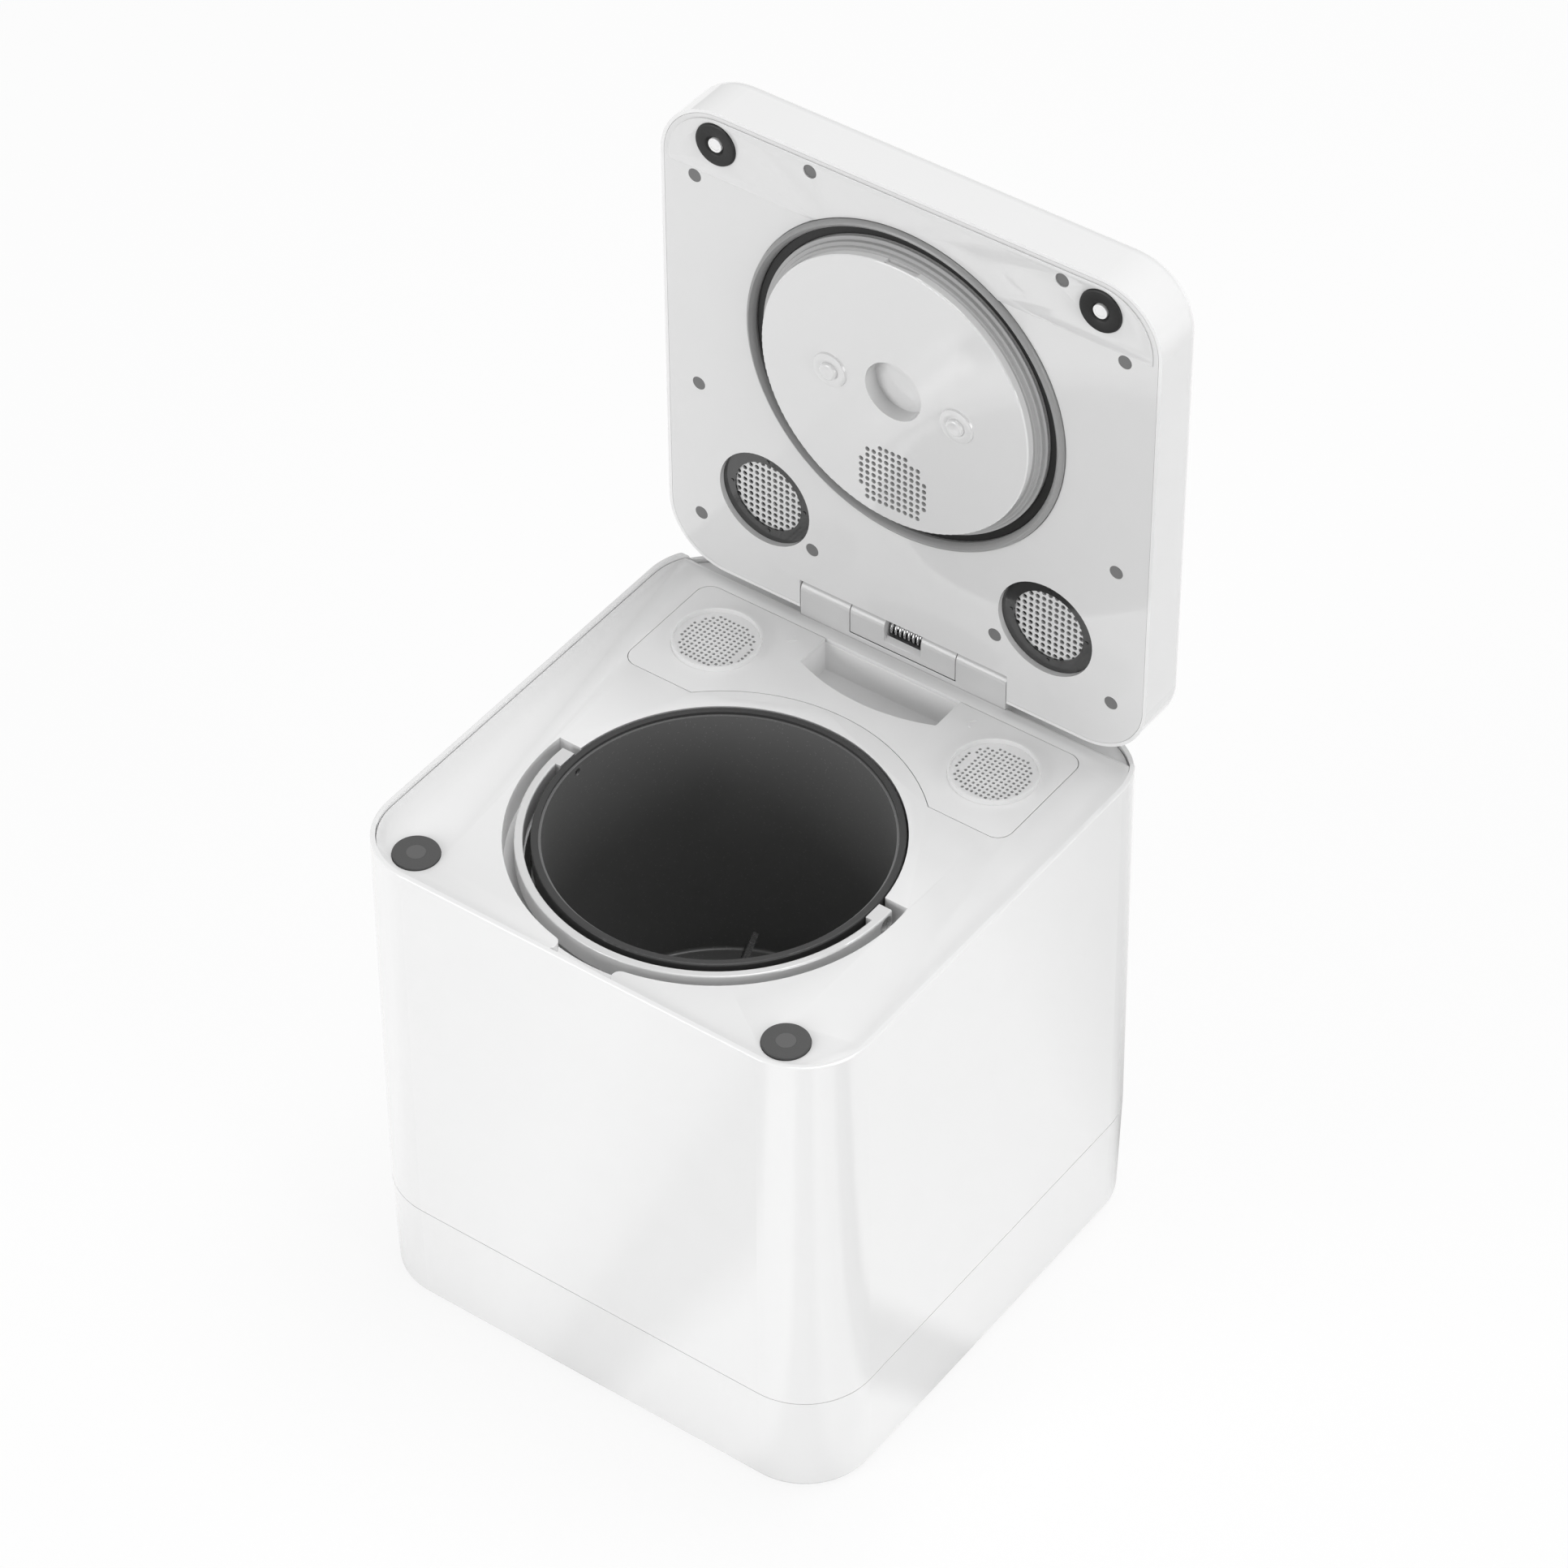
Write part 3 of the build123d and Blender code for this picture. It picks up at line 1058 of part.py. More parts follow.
def hinge_bracket():
    """Two blocks with the knuckle's cradle between them."""
    floor = DECK_Z - RAMP_DROP - HINGE_Z
    profile = hinge_profile(floor, BRACKET_BACK_Y - HINGE_Y, 0)
    bracket = extrude_x(profile, -BRACKET_W / 2, BRACKET_W / 2)
    half = KNUCKLE_W / 2 + KNUCKLE_GAP
    bracket -= rod_x(CRADLE_R, -half, half, HINGE_Y, HINGE_Z)
    lip = HINGE_Z - math.sqrt(CRADLE_R**2 - HINGE_SET**2)
    bracket -= block((-half, half), (0, BIG), (lip, BIG))
    bracket -= rod_x(HINGE_PIN_R + PIN_FIT, -HINGE_PIN_L / 2 - FIT, HINGE_PIN_L / 2 + FIT, HINGE_Y, HINGE_Z)
    for x, y in bracket_screw_places():
        bracket -= rod(SCREW_R + PIN_FIT, 0, DECK_Z - RAMP_DROP + SCREW_BITE + FIT, x, y)
    return bracket


def hinge_pin():
    return rod_x(HINGE_PIN_R, -HINGE_PIN_L / 2, HINGE_PIN_L / 2, HINGE_Y, HINGE_Z)


def hinge_knuckle():
    """Lid's barrel between the blocks, with the spring's window and the neck to the lid."""
    profile = hinge_profile(-KNUCKLE_REACH, HINGE_SET, KNUCKLE_REACH)
    knuckle = extrude_x(profile, -KNUCKLE_W / 2, KNUCKLE_W / 2)
    back = PANEL_PLANE_Y + PANEL_T
    neck = (HINGE_Z + NECK_LOW, HINGE_Z + NECK_HIGH)
    knuckle += block((-NECK_W / 2, NECK_W / 2), (back, back + NECK_T), neck)
    half = WINDOW_W / 2
    knuckle -= block((-half, half), (back, HINGE_Y + CAVITY), (HINGE_Z - CAVITY, HINGE_Z + CAVITY))
    sill = HINGE_Z - WINDOW_SILL
    knuckle -= block((-half, half), (0, back), (sill, BIG))
    front = PANEL_PLANE_Y - 1
    bevel = make_face(Polyline((front, sill - PANEL_T - 1), (back, sill), (front, sill), close=True))
    knuckle -= extrude_x(bevel, -half, half)
    return knuckle - rod_x(HINGE_PIN_R + PIN_FIT, -BIG, BIG, HINGE_Y, HINGE_Z)


def biarc(start, start_dir, end, end_dir):
    """Two arcs that join two points and directions smoothly."""
    v = end - start
    t = start_dir + end_dir
    cross = 2 * (1 - start_dir.dot(end_dir))
    if cross < 1e-9:
        return [Line(start, end)]
    d = (-v.dot(t) + math.sqrt(v.dot(t) ** 2 + cross * v.dot(v))) / cross
    middle = (start + end + (start_dir - end_dir) * d) / 2
    first = TangentArc(start, middle, tangent=start_dir)
    return [first, TangentArc(middle, end, tangent=first % 1)]


def spring_points():
    """Quarter turns of the coil with their directions, between two straight legs."""
    rise = SPRING_PITCH / (2 * math.pi)
    left = -SPRING_PITCH * SPRING_TURNS / 2
    steps = round(4 * SPRING_TURNS)
    places = []
    for step in range(steps + 1):
        angle = math.pi / 2 + step * math.pi / 2
        y = HINGE_Y + SPRING_R * math.cos(angle)
        z = HINGE_Z + SPRING_R * math.sin(angle)
        along = Vector(rise, -SPRING_R * math.sin(angle), SPRING_R * math.cos(angle)).normalized()
        places.append((Vector(left + SPRING_PITCH * step / 4, y, z), along))
    places[0] = (places[0][0], Vector(0, -1, 0))
    places[-1] = (places[-1][0], Vector(0, 1, 0))
    return places


def hinge_spring():
    """Torsion spring round the pin, its legs against the cavity's back wall."""
    places = spring_points()
    wall = HINGE_Y + CAVITY
    first = places[0][0]
    last = places[-1][0]
    path = [Line((first.X, wall, first.Z), first)]
    for (start, start_dir), (end, end_dir) in zip(places, places[1:]):
        path += biarc(start, start_dir, end, end_dir)
    path.append(Line(last, (last.X, wall, last.Z)))
    wire = Wire(path)
    samples = [wire.position_at(i / 900) for i in range(901)]
    apart = wire.length / 900
    skip = int(2 * math.pi * SPRING_R * 0.5 / apart)
    near = min((samples[i] - samples[j]).length for i in range(0, 901, 3) for j in range(i + skip, 901, 2))
    print(f"hinge_spring: least gap to itself {near - 2 * SPRING_WIRE_R:.2f} mm")
    ring = Plane(wire @ 0, z_dir=wire % 0) * Circle(SPRING_WIRE_R)
    return sweep(ring, path=wire)


# ---------------------------------------------------------------- lid, made closed
def lid_level(depth):
    """Height of a depth measured up from the lid's inner plane, lid closed."""
    return LID_Z + depth


def lid_notch(grow=0.0):
    """Room in the lid's back edge for the hinge bracket."""
    half = NOTCH_W / 2 + grow
    notch = block((-half, half), (HINGE_Y - NOTCH_V - grow, BIG), (lid_level(-1), lid_level(NOTCH_H + grow)))
    notch += rod_x(NOTCH_R + grow, -half, half, HINGE_Y, HINGE_Z)
    return notch


def lid_shell():
    top = lid_level(LID_T)
    skin = pillow(LID_W, LID_D, LID_CORNER_R, lid_level(0), top, LID_Y)
    skin = fillet(skin.faces().sort_by(Axis.Z)[-1].edges(), LID_ROUND)
    w = LID_WALL
    room = pillow(LID_W - 2 * w, LID_D - 2 * w, LID_CORNER_R - w, lid_level(-1), top - w, LID_Y)
    room = fillet(room.faces().sort_by(Axis.Z)[-1].edges(), LID_ROUND - w)
    room -= lid_notch(w) & block((-BIG, BIG), (0, BIG), (lid_level(PANEL_T), BIG))
    ledge = w + LEDGE_W
    base = lid_level(PANEL_T)
    rail = pillow(LID_W - w, LID_D - w, LID_CORNER_R - w / 2, base, base + w, LID_Y)
    rail -= pillow(LID_W - 2 * ledge, LID_D - 2 * ledge, LID_CORNER_R - ledge, 0, BIG, LID_Y)
    shell = skin - (room - rail) - lid_notch()
    neck = NECK_W / 2 + FIT
    shell -= block((-neck, neck), (HINGE_Y - NECK_HIGH - FIT, HINGE_Y),
                   (lid_level(-1), lid_level(PANEL_T + NECK_T + FIT)))
    return shell - rod(BUTTON_R + FIT, lid_level(LID_T / 2), BIG, 0, BUTTON_Y)


def lid_inner_panel():
    """Panel that closes the lid: round mouth for the plug, two port tubs, seats for small parts."""
    gap = LID_WALL + PANEL_GAP
    panel = pillow(LID_W - 2 * gap, LID_D - 2 * gap, LID_CORNER_R - gap, LID_Z, lid_level(PANEL_T), LID_Y)
    panel -= rod(LIP_R + FIT, 0, BIG, 0, BUCKET_Y)
    floor = PORT_SUNK + PORT_RING_T + PORT_MESH_T
    for x in (-PORT_X, PORT_X):
        panel += rod(PORT_R + LID_WALL, lid_level(0), lid_level(floor + WALL_T), x, PORT_Y)
        panel -= rod(PORT_R, 0, lid_level(floor), x, PORT_Y)
        panel -= rod(PORT_R - WALL_T, 0, BIG, x, PORT_Y)
        panel -= rod(BUMPER_R + FIT / 2, 0, lid_level(BUMPER_SUNK), math.copysign(PAD_X, x), PAD_Y)
    for x, y in PLUGS:
        panel -= rod(PLUG_R + FIT / 2, 0, lid_level(PLUG_T), x, y)
    return panel - lid_notch()


def band_plan():
    """Plan of the raised front band: round outer corners, straight inner edge, cut by the seal."""
    half = LID_W / 2 - BAND_SIDE_INSET
    front = LID_Y - LID_D / 2 + BAND_FRONT_INSET
    edge = BAND_EDGE_Y
    r = BAND_CORNER_R
    c = (1 - math.sqrt(0.5)) * r
    path = [Line((-half, edge), (-half, front + r)),
            ThreePointArc((-half, front + r), (c - half, front + c), (r - half, front)),
            Line((r - half, front), (half - r, front)),
            ThreePointArc((half - r, front), (half - c, front + c), (half, front + r)),
            Line((half, front + r), (half, edge)),
            Line((half, edge), (-half, edge))]
    return make_face(path) - Pos(0, BUCKET_Y) * Circle(LIP_R + FIT)


def lid_front_band():
    band = Pos(0, 0, lid_level(-BAND_PROUD)) * extrude(band_plan(), BAND_PROUD)
    for x in (-PAD_X, PAD_X):
        band -= rod(BUMPER_R + FIT / 2, 0, BIG, x, PAD_Y)
    for x, y in PLUGS:
        band -= rod(PLUG_R + FIT / 2, 0, BIG, x, y)
    return band


def lid_bumpers():
    low = lid_level(-BUMPER_PROUD)
    ring = tube(BUMPER_CORE_R + PIN_FIT, BUMPER_R, low, lid_level(BUMPER_SUNK), PAD_X, PAD_Y)
    ring = fillet(ring.edges().group_by(Axis.Z)[0], BUMPER_PROUD / 3)
    return mirrored(ring)


def bumper_cores():
    low = lid_level(SOFT_EDGE - BUMPER_PROUD)
    core = rod(BUMPER_CORE_R, low, lid_level(BUMPER_SUNK), PAD_X, PAD_Y)
    return mirrored(chamfer(core.edges().sort_by(Axis.Z)[0], SOFT_EDGE))


def inner_disc():
    """Proud plug in the lid's middle: dish, bosses, blind recess, holes and its flange."""
    low = lid_level(-DISC_PROUD)
    back = lid_level(PANEL_T)
    disc = rod(DISC_R, low, back, 0, BUCKET_Y)
    disc = fillet(disc.edges().sort_by(Axis.Z)[0], RIM_ROUND)
    disc += tube(DISC_R - 1, STEP_R, lid_level(0), back, 0, BUCKET_Y)
    disc += rod(PLUG_FLANGE_R, back, back + DISC_WALL, 0, BUCKET_Y)
    disc += mirrored(rod(KNOB_BOSS_R, low - KNOB_BOSS_H, low + 1, KNOB_X, KNOB_Y))
    face = low + DISC_WALL
    disc -= rod(DISC_R - DISC_WALL, face, BIG, 0, BUCKET_Y)
    cup = rod(DIMPLE_R + DISC_WALL, low, low + DIMPLE_DEPTH + DISC_WALL, 0, DIMPLE_Y)
    disc += cup
    disc -= rod(DIMPLE_R, 0, low + DIMPLE_DEPTH, 0, DIMPLE_Y)
    disc -= Compound([rod(MESH_HOLE_R, low - 1, face + 1, x, y) for x, y in patch_places()])
    side = BUCKET_Y - DISC_R
    slot = low + SLOT_SINK
    return disc - block(SLOT_SIDES, (side - 1, side + DISC_WALL), (slot, slot + SLOT_H))


def patch_places():
    """Holes of the disc's perforated patch, row by row."""
    spots = []
    inmost = BUCKET_Y + DISC_R - PATCH_EDGE - (len(PATCH_ROWS) - 1) * MESH_PITCH
    for row, count in enumerate(PATCH_ROWS):
        y = inmost + row * MESH_PITCH
        spots += [((i - (count - 1) / 2) * MESH_PITCH, y) for i in range(count)]
    return spots


def disc_knobs():
    low = lid_level(-DISC_PROUD) - KNOB_BOSS_H
    knob = rod(KNOB_R, low - KNOB_H + KNOB_BOSS_H, low, KNOB_X, KNOB_Y)
    return mirrored(fillet(knob.edges().sort_by(Axis.Z)[0], KNOB_H / 2))


def lid_seal():
    """Black gasket between the plug and the lip."""
    seal = tube(STEP_R + PIN_FIT, SEAL_R - PIN_FIT, lid_level(1), lid_level(PANEL_T), 0, BUCKET_Y)
    return fillet(seal.edges().group_by(Axis.Z)[0], SEAL_ROUND)


def seal_lip():
    """Soft grey lip that meets the bucket's ring."""
    inner = SEAL_R
    crest = (SEAL_R + LIP_R) / 2
    base = lid_level(PANEL_T)
    path = [Line((inner, base), (inner, lid_level(0))),
            ThreePointArc((inner, lid_level(0)), (crest - 0.6, lid_level(0.5 - LIP_CREST)),
                          (crest + 0.2, lid_level(-LIP_CREST))),
            ThreePointArc((crest + 0.2, lid_level(-LIP_CREST)), (crest + 1.4, lid_level(0.6 - LIP_CREST)),
                          (LIP_R, lid_level(-LIP_EDGE))),
            Line((LIP_R, lid_level(-LIP_EDGE)), (LIP_R, base)),
            Line((LIP_R, base), (inner, base))]
    return Pos(0, BUCKET_Y, 0) * revolve(Plane.XZ * make_face(path), Axis.Z)


def port_rings():
    """Dark rings at the bottom of the ports, with four small bumps."""
    low = lid_level(PORT_SUNK)
    ring = tube(PORT_RING_IN_R, PORT_R - PIN_FIT, low, low + PORT_RING_T, PORT_X, PORT_Y)
    reach = PORT_RING_IN_R + NUB_INSET
    for turn in range(4):
        x = PORT_X + reach * math.cos(turn * math.pi / 2)
        y = PORT_Y + reach * math.sin(turn * math.pi / 2)
        ring += rod(NUB_R, low - NUB_H, low + NUB_H / 4, x, y)
    return mirrored(ring)


def port_grilles():
    """Holed sheets behind the rings."""
    low = lid_level(PORT_SUNK + PORT_RING_T)
    radius = PORT_R - PIN_FIT
    steps = range(-7, 8)
    limit = radius - 2 * MESH_HOLE_R
    spots = [(i * MESH_PITCH, j * MESH_PITCH) for i in steps for j in steps]
    spots = [(PORT_X + x, PORT_Y + y) for x, y in spots if math.hypot(x, y) < limit]
    outline = (Pos(PORT_X, PORT_Y) * Circle(radius)).face()
    return mirrored(perforated(outline, spots, MESH_HOLE_R, low, PORT_MESH_T))


def screw_plugs():
    return Compound([rod(PLUG_R, lid_level(0), lid_level(PLUG_T), x, y) for x, y in PLUGS])


def lid_air_duct():
    """Shallow duct inside the lid, from the plug's holes to both ports."""
    low = lid_level(PORT_SUNK + PORT_RING_T + PORT_MESH_T + WALL_T)
    high = lid_level(LID_T - 2 * LID_ROUND)
    wide = PORT_X + PORT_R
    stem = PORT_X - PORT_R - 4 * WALL_T
    front = BUCKET_Y - WALL_T
    back = HINGE_Y - NECK_HIGH - WALL_T
    near = PORT_Y - PORT_R
    duct = block((-wide, wide), (near, back), (low, high)) + block((-stem, stem), (front, near), (low, high))
    w = WALL_T
    room = block((w - wide, wide - w), (near + w, back - w), (low - 1, high - w))
    room += block((w - stem, stem - w), (front + w, near + 2 * w), (low - 1, high - w))
    return duct - room


def start_button():
    top = lid_level(LID_T + BUTTON_PROUD)
    button = rod(BUTTON_R, top - BUTTON_H, top, 0, BUTTON_Y)
    return fillet(button.edges().sort_by(Axis.Z)[-1], RIM_ROUND)


def button_housing():
    """Cup under the button, with the switch in its floor."""
    low = lid_level(LID_T + BUTTON_PROUD) - BUTTON_H - BUTTON_TRAVEL - FIT - WALL_T
    high = lid_level(LID_T - LID_WALL)
    cup = rod(BUTTON_R + FIT + WALL_T, low, high, 0, BUTTON_Y)
    return cup - rod(BUTTON_R + FIT, low + WALL_T, BIG, 0, BUTTON_Y)


FIXED = (outer_shell, base_tray, rubber_feet, chassis_plate, case_screws, deck_panel, strike_pads,
         strike_cores, filter_box, air_duct, fan_housing, fan_motor, rear_vent, heating_well,
         well_collar, well_insulation, heater_plate, thermal_sensor, chassis_posts,
         gearbox_housing, gearbox_cover, shaft_bearing, drive_motor, control_board, board_parts,
         power_inlet, inlet_pins, hinge_bracket, hinge_pin)
TURNING = (fan_rotor, output_gear, output_shaft, idler_gear, motor_pinion)
LIFT_OUT = (bucket, bucket_rim, bail_handle, bail_pins, stirrer_bush, stirrer, stirrer_coupling,
            filter_cover, carbon_filters)
OPEN_LID = (hinge_knuckle, hinge_spring)
CLOSED_LID = (lid_shell, lid_inner_panel, lid_front_band, lid_bumpers, bumper_cores, inner_disc,
              disc_knobs, lid_seal, seal_lip, port_rings, port_grilles, screw_plugs, lid_air_duct,
              start_button, button_housing)


def main():
    pieces = {make.__name__: make() for make in FIXED + TURNING + LIFT_OUT + OPEN_LID}
    pieces.update(lifted({make.__name__: make() for make in CLOSED_LID}))
    os.makedirs("parts", exist_ok=True)
    for name, shape in pieces.items():
        export_step(Pos(0, -ORIGIN_Y, 0) * shape, f"parts/{name}.step")


main()
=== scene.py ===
"""Electric kitchen composter with its lid open: finishes, fine parts, light and camera."""

import json
import logging
import math
from dataclasses import dataclass, field
from enum import Enum
from typing import Iterable

import bpy
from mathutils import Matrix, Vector

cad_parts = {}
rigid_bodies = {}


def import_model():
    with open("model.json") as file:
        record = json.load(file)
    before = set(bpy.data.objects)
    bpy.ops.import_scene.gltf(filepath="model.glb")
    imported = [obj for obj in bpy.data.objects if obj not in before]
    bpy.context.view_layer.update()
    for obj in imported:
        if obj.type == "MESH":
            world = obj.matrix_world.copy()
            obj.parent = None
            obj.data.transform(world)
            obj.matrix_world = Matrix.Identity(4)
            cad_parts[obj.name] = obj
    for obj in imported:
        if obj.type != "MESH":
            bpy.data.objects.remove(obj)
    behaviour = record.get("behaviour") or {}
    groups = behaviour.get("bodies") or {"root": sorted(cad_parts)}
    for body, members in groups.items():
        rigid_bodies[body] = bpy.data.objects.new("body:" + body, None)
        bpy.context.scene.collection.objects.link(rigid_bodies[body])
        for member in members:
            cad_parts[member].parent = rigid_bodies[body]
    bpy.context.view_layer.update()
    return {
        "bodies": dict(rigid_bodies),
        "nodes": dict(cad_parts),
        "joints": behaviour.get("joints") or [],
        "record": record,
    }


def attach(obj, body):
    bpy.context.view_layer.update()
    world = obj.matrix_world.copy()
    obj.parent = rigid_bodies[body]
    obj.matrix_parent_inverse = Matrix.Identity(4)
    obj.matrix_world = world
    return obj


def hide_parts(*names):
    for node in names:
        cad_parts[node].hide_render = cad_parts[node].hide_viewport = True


logging.basicConfig(level=logging.INFO, format="%(message)s")
LOG = logging.getLogger("composter")

Colour = tuple[float, float, float]
Point = tuple[float, float, float]
Profile = tuple[tuple[float, float], ...]

MM = 0.001

# what all finishes share
COAT_ROUGHNESS = 0.08
SCATTER_RADIUS = (0.4, 0.4, 0.4)
SCATTER_SCALE = 0.004
BROAD_OCTAVES = 3
FINE_OCTAVES = 4
NOISE_LOW = 0.3               # most of a noise's values lie between these two
NOISE_HIGH = 0.7
LEAST_ROUGHNESS = 0.02
SPECK_RIM = 0.18              # cell distance at which a speck fades in
SPECK_CORE = 0.1              # and at which it is whole

# angles in degrees and lengths in metres of the modelling
SMOOTH_ANGLE = 35.0
SHARP_ANGLE = 40.0            # least angle of an edge that is rounded
FLAT_ANGLE = 0.4              # facets flatter than this are merged first
ROUNDING_STEPS = 2
COPY_WELD = 0.000002
LATHE_WELD = 0.000003
LEAST_RADIUS = 0.000001
LATHE_FACES = 96
SMALL_FACES = 64
BOSS_FACES = 72
STEPS_FACES = 192
STEPS_ANGLE = 25

# what the studio's floor and world look like
FLOOR_COLOUR = (0.9, 0.9, 0.9, 1)
FLOOR_ROUGHNESS = 0.9
FLOOR_WHITE_SHARE = 0.85      # share of plain white in what the camera sees of the floor
WHITE = (1, 1, 1, 1)
SENSOR_WIDTH = 36.0


def grey(level: float, warmth: float = 0.0) -> Colour:
    """Linear colour of a neutral grey, a little warmer or cooler.

    Args:
        level: linear reflectance, 0 to 1.
        warmth: share by which red rises and blue falls.

    Returns:
        The linear red, green and blue.
    """
    return (level * (1 + warmth), level, level * (1 - warmth))


# ------------------------------------------------------------------ finishes
@dataclass(frozen=True)
class Finish:
    """A procedural surface: colour and gloss with faint variation, and fine relief.

    grain is the size in metres of the relief's bumps and relief their height in metres. mottle is
    the share by which the colour wanders over patch metres. speckle is how much paler the specks
    are and speckle_size the spacing of their cells in metres. brushed stretches the grain on each
    axis, and subsurface is the share of light that scatters below the surface.
    """

    name: str
    colour: Colour
    roughness: float = 0.3
    rough_spread: float = 0.04
    metallic: float = 0.0
    coat: float = 0.0
    grain: float = 0.0012
    relief: float = 0.000004
    mottle: float = 0.015
    patch: float = 0.03
    speckle: float = 0.0
    speckle_size: float = 0.0008
    brushed: tuple[float, float, float] = (1.0, 1.0, 1.0)
    subsurface: float = 0.0

    def build(self) -> bpy.types.Material:
        """Makes the node tree.

        Returns:
            The material, ready for a slot.
        """
        material = bpy.data.materials.new(self.name)
        material.use_nodes = True
        tree = material.node_tree
        nodes, links = tree.nodes, tree.links
        shader = nodes["Principled BSDF"]
        shader.inputs["Metallic"].default_value = self.metallic
        shader.inputs["Coat Weight"].default_value = self.coat
        shader.inputs["Coat Roughness"].default_value = COAT_ROUGHNESS
        shader.inputs["Subsurface Weight"].default_value = self.subsurface
        shader.inputs["Subsurface Radius"].default_value = SCATTER_RADIUS
        shader.inputs["Subsurface Scale"].default_value = SCATTER_SCALE
        place = nodes.new("ShaderNodeTexCoord")
        stretch = nodes.new("ShaderNodeMapping")
        stretch.inputs["Scale"].default_value = self.brushed
        links.new(place.outputs["Object"], stretch.inputs["Vector"])
        broad = self.noise(tree, place.outputs["Object"], 1 / self.patch, BROAD_OCTAVES)
        fine = self.noise(tree, stretch.outputs["Vector"], 1 / self.grain, FINE_OCTAVES)
        shade = self.remap(tree, broad, 1 - self.mottle, 1 + self.mottle)
        tint = nodes.new("ShaderNodeMix")
        tint.data_type = "RGBA"
        tint.blend_type = "MULTIPLY"
        tint.inputs["Factor"].default_value = 1.0
        tint.inputs["A"].default_value = (*self.colour, 1)
        links.new(shade, tint.inputs["B"])
        colour = self.speckled(tree, place, tint.outputs["Result"])
        links.new(colour, shader.inputs["Base Color"])
        low = max(self.roughness - self.rough_spread, LEAST_ROUGHNESS)
        high = min(self.roughness + self.rough_spread, 1.0)
        links.new(self.remap(tree, fine, low, high), shader.inputs["Roughness"])
        bump = nodes.new("ShaderNodeBump")
        bump.inputs["Strength"].default_value = 1.0
        bump.inputs["Distance"].default_value = self.relief
        links.new(fine, bump.inputs["Height"])
        links.new(bump.outputs["Normal"], shader.inputs["Normal"])
        return material

    def speckled(self, tree: bpy.types.NodeTree, place: bpy.types.Node,
                 colour: bpy.types.NodeSocket) -> bpy.types.NodeSocket:
        """Adds pale specks over a colour, where the finish has them.

        Args:
            tree: the material's nodes.
            place: its texture coordinates.
            colour: the colour so far.

        Returns:
            The colour with its specks.
        """
        if not self.speckle:
            return colour
        cells = tree.nodes.new("ShaderNodeTexVoronoi")
        cells.inputs["Scale"].default_value = 1 / self.speckle_size
        tree.links.new(place.outputs["Object"], cells.inputs["Vector"])
        spot = tree.nodes.new("ShaderNodeMapRange")
        spot.inputs["From Min"].default_value = SPECK_RIM
        spot.inputs["From Max"].default_value = SPECK_CORE
        tree.links.new(cells.outputs["Distance"], spot.inputs["Value"])
        mix = tree.nodes.new("ShaderNodeMix")
        mix.data_type = "RGBA"
        tree.links.new(spot.outputs["Result"], mix.inputs["Factor"])
        tree.links.new(colour, mix.inputs["A"])
        pale = tuple(min(c + self.speckle, 1) for c in self.colour)
        mix.inputs["B"].default_value = (*pale, 1)
        return mix.outputs["Result"]

    @staticmethod
    def noise(tree: bpy.types.NodeTree, vector: bpy.types.NodeSocket, scale: float,
              detail: float) -> bpy.types.NodeSocket:
        """Noise over a vector.

        Args:
            tree: the material's nodes.
            vector: where to read the noise.
            scale: bumps per metre.
            detail: octaves.

        Returns:
            The noise's value, 0 to 1.
        """
        node = tree.nodes.new("ShaderNodeTexNoise")
        node.inputs["Scale"].default_value = scale
        node.inputs["Detail"].default_value = detail
        tree.links.new(vector, node.inputs["Vector"])
        return node.outputs["Fac"]

    @staticmethod
    def remap(tree: bpy.types.NodeTree, value: bpy.types.NodeSocket, low: float,
              high: float) -> bpy.types.NodeSocket:
        """Stretches the middle of a noise to a range.

        Args:
            tree: the material's nodes.
            value: the noise.
            low: result at the noise's low side.
            high: result at its high side.

        Returns:
            The stretched value.
        """
        node = tree.nodes.new("ShaderNodeMapRange")
        node.inputs["From Min"].default_value = NOISE_LOW
        node.inputs["From Max"].default_value = NOISE_HIGH
        node.inputs["To Min"].default_value = low
        node.inputs["To Max"].default_value = high
        tree.links.new(value, node.inputs["Value"])
        return node.outputs["Result"]


